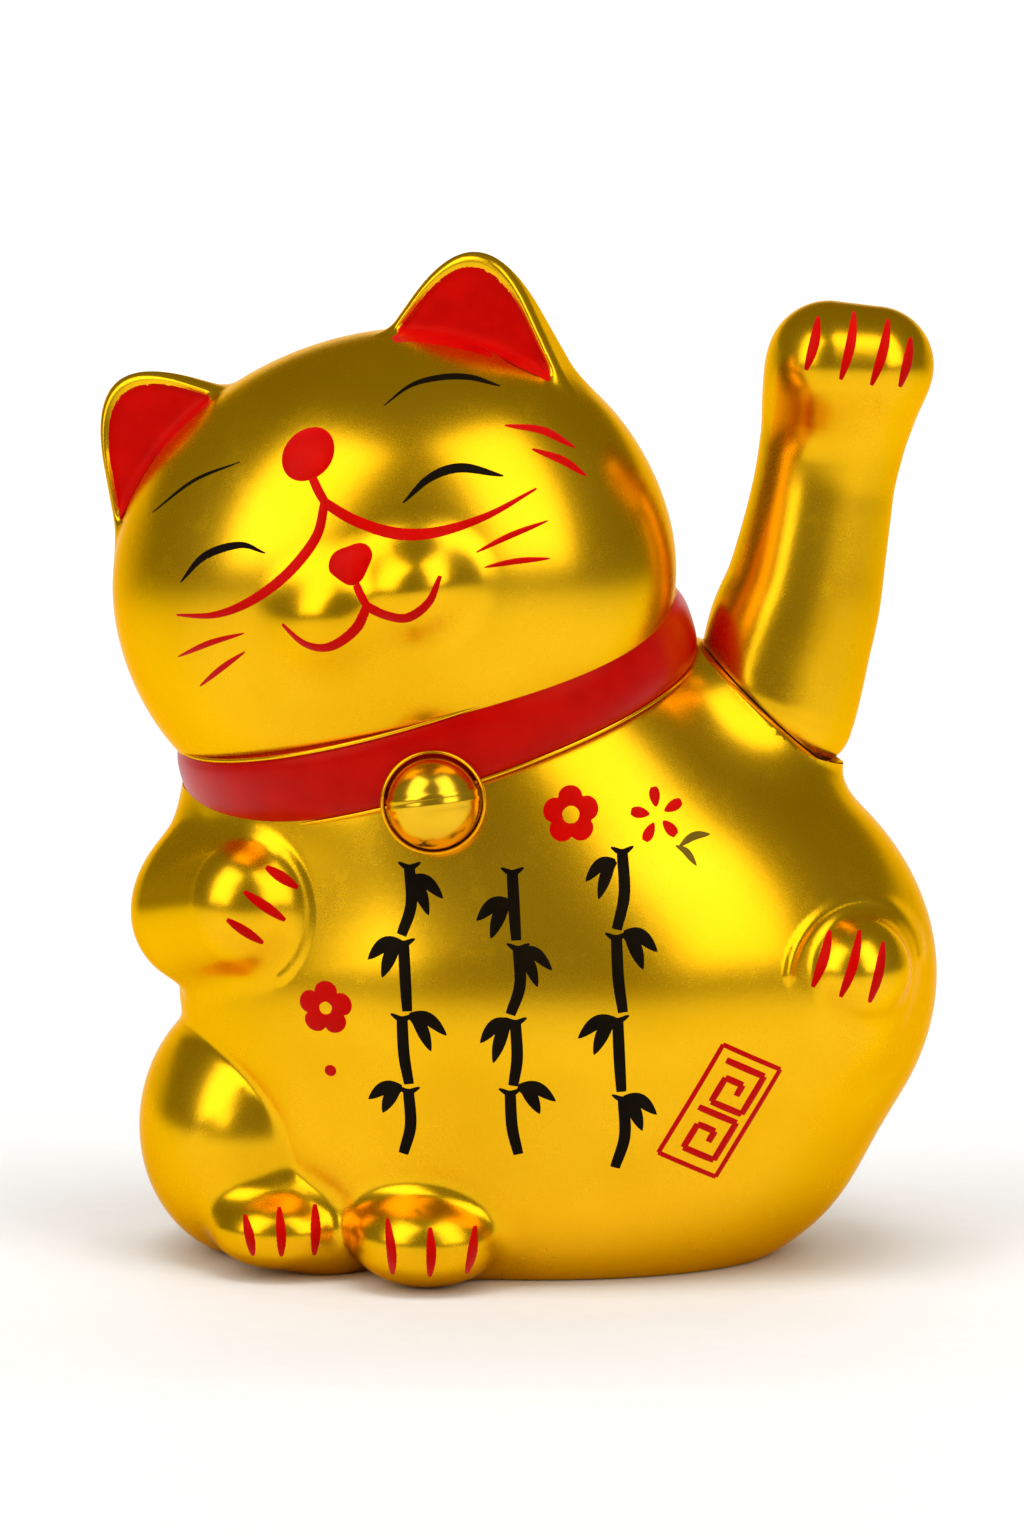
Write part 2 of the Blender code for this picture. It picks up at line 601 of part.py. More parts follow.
def make_battery_bay(black, grey, steel, cell_colours):
    """Battery box, two cells lying opposite ways, their contacts and the hinged cover."""
    wall = 1.5
    bay = block("battery_box", (*BAY_LOW, PLATE_TOP + GAP), (*BAY_HIGH, BAY_ROOF), black)
    low = (BAY_LOW[0] + wall, BAY_LOW[1] + wall, 0)
    high = (BAY_HIGH[0] - wall, BAY_HIGH[1] - wall, BAY_ROOF - wall)
    combine(bay, block("room", low, high))
    middle = (BAY_LOW[0] + BAY_HIGH[0]) / 2
    for index, sense in ((1, 1), (2, -1)):
        y = -7.25 * sense
        plus_end = middle + sense * 28.2
        cap = [(0, 0), (2.7, 0), (2.7, 1.5), (CELL_RADIUS - 0.5, 1.5), (CELL_RADIUS, 2.0),
               (CELL_RADIUS, CELL_LENGTH - 0.5), (CELL_RADIUS - 0.5, CELL_LENGTH), (0, CELL_LENGTH)]
        turned(f"battery_cell_{index}", cap, cell_colours, (plus_end, y, CELL_Z), (-sense, 0, 0), 16)
        plate_x = plus_end + sense * GAP
        ends = sorted((plate_x, plate_x + sense * 0.6))
        block(f"plate_contact_{index}", (ends[0], y - 5, CELL_Z - 5), (ends[1], y + 5, CELL_Z + 5), steel)
        make_spring(index, middle - sense * 29.1, y, sense, steel)
    cover = block("battery_cover", (*COVER_LOW, PLATE_LOW), (*COVER_HIGH, PLATE_TOP - 0.4), grey)
    for step in range(5):
        x = COVER_HIGH[0] - 6 - 2.4 * step
        combine(cover, block("groove", (x, -7, 0), (x + 1.2, 7, PLATE_LOW + 0.6)))
    catch = block("catch", (COVER_HIGH[0] - 1.6, -4, PLATE_LOW + 1), (COVER_HIGH[0], 4, PLATE_TOP + 3))
    combine(cover, catch, "UNION")
    return cover


def make_spring(index, wall_x, y, sense, steel):
    """Coiled wire contact that presses on a cell's flat end."""
    turns, wire, depth = 3.5, 0.45, 5.2
    curve = bpy.data.curves.new(f"spring_contact_{index}", "CURVE")
    curve.dimensions = "3D"
    curve.bevel_depth = wire * MM
    curve.bevel_resolution = 0
    curve.use_fill_caps = True
    line = curve.splines.new("POLY")
    count = 24
    line.points.add(count)
    for step in range(count + 1):
        share = step / count
        angle = 2 * math.pi * turns * share
        radius = 4.6 - 1.6 * share
        x = wall_x + sense * (wire + depth * share)
        point = (x, y + radius * math.cos(angle), CELL_Z + radius * math.sin(angle))
        line.points[step].co = (*(MM * value for value in point), 1.0)
    curve.materials.append(steel)
    obj = bpy.data.objects.new(f"spring_contact_{index}", curve)
    bpy.context.scene.collection.objects.link(obj)


def make_lead(name, route, material):
    """Insulated wire through a few chosen points, read from a smooth curve."""
    knots = [Vector(point) * MM for point in route]
    curve = bpy.data.curves.new(name, "CURVE")
    curve.dimensions = "3D"
    curve.bevel_depth = 0.7 * MM
    curve.bevel_resolution = 2
    curve.use_fill_caps = True
    line = curve.splines.new("POLY")
    padded = [2 * knots[0] - knots[1], *knots, 2 * knots[-1] - knots[-2]]
    points = []
    for before, start, end, after in zip(padded, padded[1:], padded[2:], padded[3:]):
        for step in range(4):
            t = step / 4
            pull = (start * 2 + (end - before) * t + (before * 2 - start * 5 + end * 4 - after) * t * t
                    + (start * 3 - before - end * 3 + after) * t * t * t) / 2
            points.append(pull)
    points.append(knots[-1])
    line.points.add(len(points) - 1)
    for spot, point in zip(line.points, points):
        spot.co = (*point, 1.0)
    curve.materials.append(material)
    obj = bpy.data.objects.new(name, curve)
    bpy.context.scene.collection.objects.link(obj)


def make_electronics(green, black, copper, nylon):
    """Coil that drives the pendulum magnet, on a small board with its chip and capacitor."""
    board = block("circuit_board", (*BOARD_LOW, BOARD_Z), (*BOARD_HIGH, BOARD_Z + 1.6), green)
    top = BOARD_Z + 1.6 + GAP
    x = at_shaft(LEVER_S)[0]
    bobbin = [(1.5, 0), (8.5, 0), (8.5, 0.8), (3.5, 0.8), (3.5, 5.4), (8.5, 5.4), (8.5, 6.2), (1.5, 6.2)]
    turned("coil_bobbin", bobbin, nylon, (x, LEVER_Y, top))
    tube("coil_winding", 3.5 + GAP, 7.8, 4.0, copper, (x, LEVER_Y, top + 0.8 + GAP))
    block("driver_chip", (38.5, 11, top), (44, 17, top + 1.6), black, bevel=0.2)
    can = [(0, 0), (2.5, 0), (2.5, 6.5), (2.1, 7), (0, 7)]
    turned("capacitor", can, black, (42, -6.5, top), steps=16)
    return board


def make_switch(black, white):
    x, y = SWITCH
    body = block("switch_body", (x - 6, y - 3, PLATE_TOP + GAP), (x + 6, y + 3, 11.5), black, bevel=0.3)
    combine(body, block("room", (x - 4.4, y - 2, 0), (x + 4.4, y + 2, 8.5)))
    low = (-2.2, -1.5, 1.0 - 4.6)
    high = (2.2 - SWITCH_TRAVEL / 2 + 0.7, 1.5, 8.0 - 4.6)
    knob = block("switch_knob", low, high, white, bevel=0.3)
    knob.location = Vector((x - SWITCH_TRAVEL / 2 + 0.6, y, 4.6)) * MM
    return knob


def hang_on(name, place, children):
    """Empty on a joint's axis that carries the pieces which move with it."""
    pivot = bpy.data.objects.new(name, None)
    pivot.location = Vector(place) * MM
    bpy.context.scene.collection.objects.link(pivot)
    bpy.context.view_layer.update()
    for child in children:
        obj = bpy.data.objects[child]
        obj.parent = pivot
        obj.matrix_parent_inverse = pivot.matrix_world.inverted()


clear_scene()
GOLD = finish("gold_shell", (0.83, 0.53, 0.06), 0.28, 1.0)
GOLD_BRIGHT = finish("gold_bell", (0.9, 0.62, 0.12), 0.2, 1.0)
RED = finish("collar_red", (0.42, 0.004, 0.004), 0.3)
PLASTIC_GREY = finish("grey_plastic", (0.32, 0.31, 0.3), 0.5)
BLACK = finish("black_plastic", (0.02, 0.02, 0.02), 0.45)
WHITE = finish("white_nylon", (0.75, 0.74, 0.7), 0.45)
RUBBER = finish("rubber", (0.03, 0.03, 0.03), 0.8)
STEEL = finish("steel", (0.6, 0.6, 0.6), 0.3, 1.0)
MAGNET = finish("magnet", (0.35, 0.35, 0.36), 0.35, 1.0)
COPPER = finish("copper_wire", (0.72, 0.32, 0.13), 0.35, 1.0)
GREEN = finish("board_green", (0.02, 0.16, 0.06), 0.4)
CELL = finish("cell_wrap", (0.05, 0.12, 0.3), 0.35)
LEAD_RED = finish("lead_red", (0.5, 0.02, 0.02), 0.5)

make_body(GOLD)
make_head(GOLD)
make_collar(RED)
make_bell(GOLD, GOLD_BRIGHT)
make_arm(GOLD)
make_shaft(STEEL)
make_bushes(WHITE)
make_bracket(PLASTIC_GREY)
make_pendulum(PLASTIC_GREY, STEEL, MAGNET)
make_base_plate(PLASTIC_GREY)
make_base_hardware(RUBBER, STEEL)
make_battery_bay(BLACK, PLASTIC_GREY, STEEL, CELL)
make_electronics(GREEN, BLACK, COPPER, WHITE)
make_switch(BLACK, WHITE)
make_lead("lead_battery_plus", [(13.8, -8, 15), (17, -12, 17), (10, -22, 17), (3, -25, 13)], LEAD_RED)
make_lead("lead_battery_minus", [(13.8, 8, 15), (18, 9, 16), (20, 5, 12), (20, 2, 9.5)], BLACK)
make_lead("lead_switch", [(-3, -25, 12.9), (-2, -22, 19), (14, -19, 19), (20, -8, 12), (21, -5, 9.5)],
          LEAD_RED)
hang_on("arm_pivot", SHOULDER, ["arm_front_shell", "arm_rear_shell", "arm_hub", "arm_shaft",
                                "shaft_clip", "pendulum_lever", "pendulum_weight", "pendulum_magnet"])
hang_on("cover_hinge", (COVER_LOW[0], 0, PLATE_LOW), ["battery_cover"])
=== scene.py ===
"""Beckoning cat figurine: finished shells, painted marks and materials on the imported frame."""
import json
import math

import bmesh
import bpy
import numpy as np
from mathutils import Matrix, Vector
from mathutils.bvhtree import BVHTree


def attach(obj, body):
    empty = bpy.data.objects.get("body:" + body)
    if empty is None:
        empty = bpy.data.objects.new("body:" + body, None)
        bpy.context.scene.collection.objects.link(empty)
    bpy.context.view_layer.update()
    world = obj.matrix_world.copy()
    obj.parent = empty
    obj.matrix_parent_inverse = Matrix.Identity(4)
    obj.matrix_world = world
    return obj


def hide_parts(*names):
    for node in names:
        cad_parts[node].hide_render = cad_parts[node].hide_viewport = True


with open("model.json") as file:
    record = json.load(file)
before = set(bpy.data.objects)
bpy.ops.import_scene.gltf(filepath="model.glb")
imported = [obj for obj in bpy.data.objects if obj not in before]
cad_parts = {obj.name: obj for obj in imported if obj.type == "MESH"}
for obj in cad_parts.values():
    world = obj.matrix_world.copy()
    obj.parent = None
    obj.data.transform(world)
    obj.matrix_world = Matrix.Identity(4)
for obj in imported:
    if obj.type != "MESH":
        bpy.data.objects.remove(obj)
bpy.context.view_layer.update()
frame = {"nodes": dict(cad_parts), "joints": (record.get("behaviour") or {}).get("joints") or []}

MM = 0.001              # forms are worked out in millimetres, pieces are made in metres
WALL = 2.4
ARM_WALL = 1.8
RIM_Z = 0.3
SPLIT_Y = 2.0
ARM_SPLIT_Y = 3.5
HEAD_SPLIT_Y = 14.0
GAP = 0.3

SHOULDER = np.array(frame["joints"][0]["pos_m"]) / MM
SHAFT_DIR = np.array(frame["joints"][0]["axis"])
SHAFT_DIR = SHAFT_DIR / np.linalg.norm(SHAFT_DIR)
SEAM_RADIUS = 24.9
SEAM_GAP = 0.45
NECK = np.array([-21.8, -4.0, 154.5])
HEAD = np.array([-37.0, -8.0, 197.0])
MUZZLE_X = 10.5
EAR_Y = 1.0
COLLAR_RADIUS = 57.0
COLLAR_SECTION = (7.0, 10.5)
COLLAR_STRETCH = 74.0 / 64.0
NECK_PLANE = 1.5
BELL = np.array([-22.0, -69.0, 133.6])
HAND_DEPTH = 0.8
HAND_INNER = (85.5, -5.0, 246.4)
HAND_OUTER = (97.9, -5.0, 245.9)
BELL_RADIUS = 12.3
BELL_BACK = 5.5
WIRE_RADIUS = 0.2
WEB_LOW = 0.5            # underside web, just inside the rim
WEB_HIGH = 2.0
WEB_CENTRE = (5.5, 0.0)
CREASE = 58.0           # degrees: shells are shaded smooth below this bend
BODY_SPAN = ((-110, -80, -16), (120, 86, 182))
HEAD_SPAN = ((-119, -86, 126), (46, 62, 281))
ARM_SPAN = ((42, -34, 122), (118, 34, 268))
BODY_CELL = 1.3
HEAD_CELL = 1.25
ARM_CELL = 1.0
ARM_Y = 5.0
SEAT_LIP = 2.3          # the body's seat for the arm: its width and fall past the seam
SEAT_FALL = 1.0
FAR = 60.0              # reach of a turned cutter


def turned_frame(about_y, about_x=0.0, about_z=0.0):
    """Axes of a frame turned about Y first, then about its own X and Z, in degrees."""
    axes = Matrix.Identity(3)
    for angle, axis in ((about_y, "Y"), (about_x, "X"), (about_z, "Z")):
        axes = axes @ Matrix.Rotation(math.radians(angle), 3, axis)
    return np.array(axes)


NECK_AXES = turned_frame(-17.4, about_x=8.3)
HEAD_AXES = turned_frame(-20.0, about_z=-14.0)
UPRIGHT = np.eye(3)


# ---- rounded forms, as distance fields ------------------------------------------------

def smooth_route(route, spacing=0.7):
    """Evenly spaced points on a smooth curve through the route's own points."""
    knots = [np.array(point, float) for point in route]
    knots = [2 * knots[0] - knots[1], *knots, 2 * knots[-1] - knots[-2]]
    points = []
    for a, b, c, d in zip(knots, knots[1:], knots[2:], knots[3:]):
        count = max(3, int(np.linalg.norm(c - b) / spacing))
        for step in range(count):
            t = step / count
            points.append((2 * b + (c - a) * t + (2 * a - 5 * b + 4 * c - d) * t * t
                           + (3 * b - a - 3 * c + d) * t ** 3) / 2)
    return np.array([*points, knots[-2]])


def lump(points, centre, radii, axes=UPRIGHT):
    """Signed distance to an ellipsoid, close to exact near its surface."""
    local = (points - np.array(centre)) @ axes
    near = np.linalg.norm(local / np.array(radii), axis=1) + 1e-9
    slope = np.linalg.norm(local / np.square(np.array(radii)), axis=1)
    return near * (near - 1.0) / np.maximum(slope, 1e-9)


def limb(points, start, end, start_radius, end_radius):
    """Signed distance to a rod with round ends whose radius changes along it."""
    start, end = np.array(start), np.array(end)
    line = end - start
    along = np.clip((points - start) @ line / (line @ line), 0.0, 1.0)
    radius = start_radius + (end_radius - start_radius) * along
    return np.linalg.norm(points - start - along[:, None] * line, axis=1) - radius


def blend(first, second, width):
    """Union of two forms with a soft fillet of this width."""
    mix = np.clip(0.5 + 0.5 * (second - first) / width, 0.0, 1.0)
    return second + (first - second) * mix - width * mix * (1.0 - mix)


def keep_common(first, second, width):
    """Common part of two forms with a rounded edge."""
    return -blend(-first, -second, width)


def trunk_form(points):
    """Belly, base, chest and shoulder without the limbs."""
    form = lump(points, (11.6, 2, 76.6), (105, 78, 77.9), turned_frame(-0.7))
    form = blend(form, lump(points, (5.5, 0, 26.6), (83.3, 58, 40.8)), 22)
    form = blend(form, lump(points, (-16.9, 0, 131.5), (75.9, 60, 47.9), turned_frame(-7.4)), 22)
    inner = SHOULDER - 50 * SHAFT_DIR
    return blend(form, limb(points, inner, SHOULDER, 34, SEAM_RADIUS + 0.6), 14)


def body_form(points):
    """Trunk with its thigh, feet, folded foreleg, side leg with its paw, and tail."""
    form = trunk_form(points)
    form = blend(form, lump(points, (-71.7, 2, 36), (32.9, 46, 38.2), turned_frame(6)), 2.5)
    form = blend(form, limb(points, (-72, -14, 37), (-50, -30, 13), 27.5, 15), 3)
    form = blend(form, limb(points, (-68, 0, 115.4), (-81.3, -10, 103.4), 19, 20.2), 8)
    form = blend(form, limb(points, (-85, -18, 97), (-72, -41, 102), 20.5, 18), 7)
    form = blend(form, limb(points, (85, 4, 85), (90, -28, 85), 24, 18), 6)
    form = blend(form, limb(points, (10, 68.5, 34), (34, 70.5, 46), 14, 11), 5)
    form = blend(form, lump(points, (-64, -35, 13.2), (19.5, 20, 11.6)), 8)
    form = blend(form, lump(points, (-24, -49, 13.8), (21.5, 25, 14.2)), 6)
    form = blend(form, lump(points, (89, -37, 76), (13, 15, 16)), 12)
    side_leg = form
    form = blend(form, lump(points, (91, -43, 85), (15.5, 18, 15)), 3)
    lip = bead(points, trunk_form(points), (-73, 101.5), (17.4, 20.5), 1.1, (-75, 105))
    form = blend(form, lip, 1.2)
    return blend(form, bead(points, side_leg, (92, 85), (19.0, 19.0), 1.2, (-10, 190)), 1.2)


def bead(points, under, centre, radii, thickness, span):
    """Fine raised lip: an arc seen from the front, lying on the form under it and fading out."""
    across = points[:, 0] - centre[0]
    up = points[:, 2] - centre[1]
    around = (np.hypot(across / radii[0], up / radii[1]) - 1.0) * min(radii)
    turn = np.degrees(np.arctan2(up, across))
    middle, half = (span[0] + span[1]) / 2, (span[1] - span[0]) / 2
    off = np.abs((turn - middle + 180) % 360 - 180)
    fade = np.clip((half + 12 - off) / 24, 0, 1) * (points[:, 1] < 0)
    away = under + 0.5 * thickness
    return np.hypot(around, away) - thickness * fade + 3.0 * (1 - fade)


def bare_head_form(points):
    """Head with full cheeks and a low muzzle, without its ears."""
    local = (points - HEAD) @ HEAD_AXES
    form = lump(local, (-1.6, 2, 1.5), (74.2, 64, 56))
    form = blend(form, lump(local, (1.3, -2, -18.3), (76.3, 62, 57.6)), 14)
    muzzle = blend(lump(local, (MUZZLE_X - 11, -58, -9), (15, 14, 12)),
                   lump(local, (MUZZLE_X + 11, -58, -9), (15, 14, 12)), 6)
    return blend(form, muzzle, 9)


def ear_outline(local, side, inset, rounding):
    """Distance to the ear's rounded peak, seen from the front in the head's frame."""
    inner_foot = (22.8, 54.3) if side > 0 else (25.9, 54.1)
    outer_foot = (66.4, 28.0) if side > 0 else (68.2, 29.4)
    across = local[:, 0] * side
    up = local[:, 2]
    inner = (across - inner_foot[0]) * -0.57 + (up - inner_foot[1]) * 0.82 + inset
    outer = (across - outer_foot[0]) * 0.99 + (up - outer_foot[1]) * 0.13 + inset
    return keep_common(inner, outer, rounding)


def ear_form(local, side):
    """One ear in the head's frame: a peaked plate, thicker at its foot, with a dished front."""
    half = 3.2 + 0.16 * np.clip(72 - local[:, 2], 0, 60)
    form = keep_common(ear_outline(local, side, 0.0, 30.0), np.abs(local[:, 1] - EAR_Y) - half, 5)
    form = keep_common(form, 20.0 - local[:, 2], 3)
    dish = keep_common(ear_outline(local, side, 2.1, 27.0),
                       np.abs(local[:, 1] - EAR_Y + 2.5 + half) - 5.0, 2)
    return keep_common(form, -dish, 1.2)


def head_form(points):
    local = (points - HEAD) @ HEAD_AXES
    ears = np.minimum(ear_form(local, -1), ear_form(local, 1))
    return blend(bare_head_form(points), ears, 3)


ARM_STATIONS = ((68.9, 152.5, 25.4), (71.6, 159.5, 24.4), (74.6, 169.1, 23.4), (78.6, 180.7, 21.9),
                (81.2, 192.6, 20.7), (83.5, 204.8, 19.8), (85.3, 215.6, 19.4), (87.9, 229.3, 20.2))
ARM_LINE = smooth_route(ARM_STATIONS, 1.1)


def arm_form(points):
    """Raised arm: a bent tapering limb with a wide hand, narrowed towards the seam."""
    form = None
    for (x0, z0, radius), (x1, z1, next_radius) in zip(ARM_LINE, ARM_LINE[1:]):
        piece = limb(points, (x0, ARM_Y, z0), (x1, ARM_Y, z1), radius, next_radius)
        form = piece if form is None else np.minimum(form, piece)
    flatter = np.array([1.0, HAND_DEPTH, 1.0])
    hand = limb(points * flatter, np.array(HAND_INNER) * flatter, np.array(HAND_OUTER) * flatter,
                17.2, 16.2)
    form = blend(form, hand, 11)
    offset = points - SHOULDER
    height = offset @ SHAFT_DIR
    off_axis = np.linalg.norm(offset - height[:, None] * SHAFT_DIR, axis=1)
    return keep_common(form, (off_axis - SEAM_RADIUS - 0.8 * height) * 0.78, 5)


# ---- skins cut from the forms ---------------------------------------------------------

BLOCK = 6               # grid cells along a block that is skipped when it is far away


def sampled(form, low, counts, cell):
    """Values of a form on a grid; a block far from the surface takes its centre's value."""
    blocks = [math.ceil(count / BLOCK) for count in counts]
    centres = [low[i] + (np.arange(blocks[i]) + 0.5) * BLOCK * cell for i in range(3)]
    spots = np.stack(np.meshgrid(*centres, indexing="ij"), axis=-1).reshape(-1, 3)
    coarse = form(spots).reshape(blocks)
    for axis in range(3):
        coarse = np.repeat(coarse, BLOCK, axis=axis)
    values = coarse[: counts[0], : counts[1], : counts[2]].copy()
    near = np.argwhere(np.abs(values) < BLOCK * cell * 1.5)
    for start in range(0, len(near), 300000):
        part = near[start: start + 300000]
        values[tuple(part.T)] = form(np.array(low) + part * cell)
    return values


def drawn_on(form, points, rounds=3, reach=0.05):
    """Points moved along the slope until they lie on the form's surface."""
    for _ in range(rounds):
        slope = np.empty_like(points)
        for axis in range(3):
            step = np.zeros(3)
            step[axis] = reach
            slope[:, axis] = (form(points + step) - form(points - step)) / (2 * reach)
        scale = form(points) / np.maximum((slope ** 2).sum(1), 0.1)
        points = points - slope * scale[:, None]
    return points


CORNERS = np.array([(i & 1, i >> 1 & 1, i >> 2 & 1) for i in range(8)])
CELL_EDGES = [(a, b) for a in range(8) for b in range(a + 1, 8) if bin(a ^ b).count("1") == 1]


def skin(form, low, high, cell):
    """Even quads over a form's surface: one point in each grid cell that it crosses."""
    counts = [int((high[i] - low[i]) / cell) + 1 for i in range(3)]
    values = sampled(form, low, counts, cell)
    solid = values < 0
    inside = np.zeros([count - 1 for count in counts], int)
    for corner in CORNERS:
        window = [slice(corner[i], counts[i] - 1 + corner[i]) for i in range(3)]
        inside += solid[tuple(window)]
    cells = np.argwhere((inside > 0) & (inside < 8))
    number = np.full(inside.shape, -1)
    number[tuple(cells.T)] = np.arange(len(cells))
    at_corner = np.stack([values[tuple((cells + corner).T)] for corner in CORNERS], axis=1)
    total = np.zeros((len(cells), 3))
    crossings = np.zeros(len(cells))
    for first, second in CELL_EDGES:
        here, there = at_corner[:, first], at_corner[:, second]
        cut = (here < 0) != (there < 0)
        share = here[cut] / (here[cut] - there[cut])
        total[cut] += CORNERS[first] + share[:, None] * (CORNERS[second] - CORNERS[first])
        crossings[cut] += 1
    points = np.array(low) + (cells + total / crossings[:, None]) * cell
    quads = []
    for axis in range(3):
        ahead, left, up = np.roll(np.eye(3, dtype=int), -axis, axis=0)
        ends = np.argwhere(solid[:-1, :-1, :-1] != solid[ahead[0]:counts[0] - 1 + ahead[0],
                                                         ahead[1]:counts[1] - 1 + ahead[1],
                                                         ahead[2]:counts[2] - 1 + ahead[2]])
        ends = ends[(ends[:, left.argmax()] > 0) & (ends[:, up.argmax()] > 0)]
        ring = [ends, ends - left, ends - left - up, ends - up]
        quad = np.stack([number[tuple(spot.T)] for spot in ring], axis=1)
        outward = solid[tuple(ends.T)]
        quads.append(np.where(outward[:, None], quad, quad[:, ::-1]))
    return drawn_on(form, points), np.concatenate(quads)


def sharpened(points, faces, form, rounds=2, bend=12.0):
    """The same skin with smaller faces wherever it turns quickly."""
    bm = bmesh.new()
    bm.from_mesh(mesh_of("skin", points, faces))
    for _ in range(rounds):
        turning = {v for e in bm.edges if e.calc_face_angle(0) > math.radians(bend)
                   for v in e.verts}
        edges = {e for v in turning for f in v.link_faces for e in f.edges}
        bmesh.ops.subdivide_edges(bm, edges=list(edges), cuts=1, use_grid_fill=True)
        bmesh.ops.triangulate(bm, faces=[f for f in bm.faces if len(f.verts) > 4])
        places = drawn_on(form, np.array([v.co[:] for v in bm.verts]) / MM, 2)
        for vert, place in zip(bm.verts, places * MM):
            vert.co = place
    mesh = bpy.data.meshes.new("skin")
    bm.to_mesh(mesh)
    bm.free()
    return mesh


def mesh_of(name, points, faces):
    """Blender mesh in metres from points in millimetres."""
    mesh = bpy.data.meshes.new(name)
    mesh.from_pydata((np.asarray(points) * MM).tolist(), [], np.asarray(faces).tolist())
    mesh.validate()
    return mesh


def bare_piece(name, mesh, material, crease=35.0):
    obj = bpy.data.objects.new(name, mesh)
    bpy.context.scene.collection.objects.link(obj)
    mesh.materials.clear()
    mesh.materials.append(material)
    mesh.shade_smooth()
    mesh.set_sharp_from_angle(angle=math.radians(crease))
    return obj


def finished(obj):
    """Replace an object's mesh by what its modifiers make of it."""
    graph = bpy.context.evaluated_depsgraph_get()
    mesh = bpy.data.meshes.new_from_object(obj.evaluated_get(graph))
    obj.modifiers.clear()
    obj.data = mesh
    return obj


def cut_away(bm, point, axis):
    """Remove what lies beyond a plane given in millimetres."""
    geom = bm.faces[:] + bm.edges[:] + bm.verts[:]
    bmesh.ops.bisect_plane(bm, geom=geom, dist=1e-7, plane_co=Vector(point) * MM,
                           plane_no=Vector(axis), clear_outer=True)


def carved(mesh, profile, origin, axis, steps=128):
    """Mesh with a turned form taken out of it."""
    cutter = bpy.data.objects.new("cutter", turned_mesh("cutter", profile, origin, axis, steps))
    solid = bpy.data.objects.new("solid", mesh)
    for obj in (cutter, solid):
        bpy.context.scene.collection.objects.link(obj)
    cut = solid.modifiers.new("cut", "BOOLEAN")
    cut.object = cutter
    cut.solver = "EXACT"
    finished(solid)
    mesh = solid.data
    for obj in (cutter, solid):
        bpy.data.objects.remove(obj)
    return mesh


def frame_along(axis, origin):
    """Matrix whose local Z runs along axis from origin."""
    turn = Vector(axis).to_track_quat("Z", "Y").to_matrix().to_4x4()
    return Matrix.Translation(Vector(origin)) @ turn


def shell_halves(mesh, names, point, axis, wall, material, body, prepare):
    """Two shells with a real wall from one skin, parted by GAP at a plane."""
    axis = np.array(axis, float)
    for name, sense in zip(names, (1, -1)):
        bm = bmesh.new()
        bm.from_mesh(mesh)
        prepare(bm)
        cut_away(bm, np.array(point) - axis * sense * GAP / 2, axis * sense)
        half = bpy.data.meshes.new(name)
        bm.to_mesh(half)
        bm.free()
        obj = bare_piece(f"{name}_skin", half, material, CREASE)
        thick = obj.modifiers.new("wall", "SOLIDIFY")
        thick.thickness = wall * MM
        thick.offset = -1.0
        finished(obj)
        obj.data.shade_smooth()
        obj.data.set_sharp_from_angle(angle=math.radians(CREASE))
        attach(obj, body)
        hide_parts(name)


def tree_over(mesh):
    points = [vert.co / MM for vert in mesh.vertices]
    return BVHTree.FromPolygons(points, [tuple(face.vertices) for face in mesh.polygons])


# ---- casing ---------------------------------------------------------------------------

def make_body(gold):
    mesh = sharpened(*skin(body_form, *BODY_SPAN, BODY_CELL), body_form, 1)
    tree = tree_over(mesh)
    seat = [(0, -8), (4.6, -8), (4.6, 0), (SEAM_RADIUS, 0), (SEAM_RADIUS + 0.8, -0.5),
            (SEAM_RADIUS + SEAT_LIP, -SEAT_FALL), (SEAM_RADIUS + SEAT_LIP, FAR), (0, FAR)]
    mesh = carved(mesh, seat, SHOULDER, SHAFT_DIR)

    def trim(bm):
        cut_away(bm, NECK - NECK_AXES[:, 2] * NECK_PLANE, NECK_AXES[:, 2])
        cut_away(bm, (0, 0, RIM_Z), (0, 0, -1))

    shell_halves(mesh, ("body_front_shell", "body_rear_shell"), (0, SPLIT_Y, 0), (0, 1, 0),
                 WALL, gold, "root", trim)
    return tree


def make_head(gold):
    mesh = sharpened(*skin(head_form, *HEAD_SPAN, HEAD_CELL), head_form)

    def trim(bm):
        cut_away(bm, NECK + NECK_AXES[:, 2] * NECK_PLANE, -NECK_AXES[:, 2])

    shell_halves(mesh, ("head_front_shell", "head_rear_shell"),
                 HEAD + HEAD_AXES[:, 1] * HEAD_SPLIT_Y, HEAD_AXES[:, 1], WALL, gold, "root", trim)
    return tree_over(mesh)


def make_arm(gold):
    mesh = sharpened(*skin(arm_form, *ARM_SPAN, ARM_CELL), arm_form, 1)
    tree = tree_over(mesh)
    below = [(0, SEAM_GAP + 4), (2.4, SEAM_GAP + 4), (2.4, SEAM_GAP), (SEAM_RADIUS - 0.6, SEAM_GAP),
             (SEAM_RADIUS, SEAM_GAP + 0.4), (FAR, SEAM_GAP + FAR / 2), (FAR, -FAR), (0, -FAR)]
    mesh = carved(mesh, below, SHOULDER, SHAFT_DIR)
    shell_halves(mesh, ("arm_front_shell", "arm_rear_shell"), (0, ARM_SPLIT_Y, 0), (0, 1, 0),
                 ARM_WALL, gold, "waving_arm", lambda bm: None)
    return tree


def ring_mesh(name, path, section, sides=40):
    """Closed ring: section(angle) gives (outwards, upwards) at each place along path(angle)."""
    steps = 240
    points = []
    for step in range(steps):
        turn = 2 * math.pi * step / steps
        for side in range(sides):
            points.append(path(turn, *section(2 * math.pi * side / sides)))
    faces = []
    for step in range(steps):
        ahead = (step + 1) % steps
        for side in range(sides):
            up = (side + 1) % sides
            faces.append((step * sides + side, ahead * sides + side,
                          ahead * sides + up, step * sides + up))
    return mesh_of(name, points, faces)


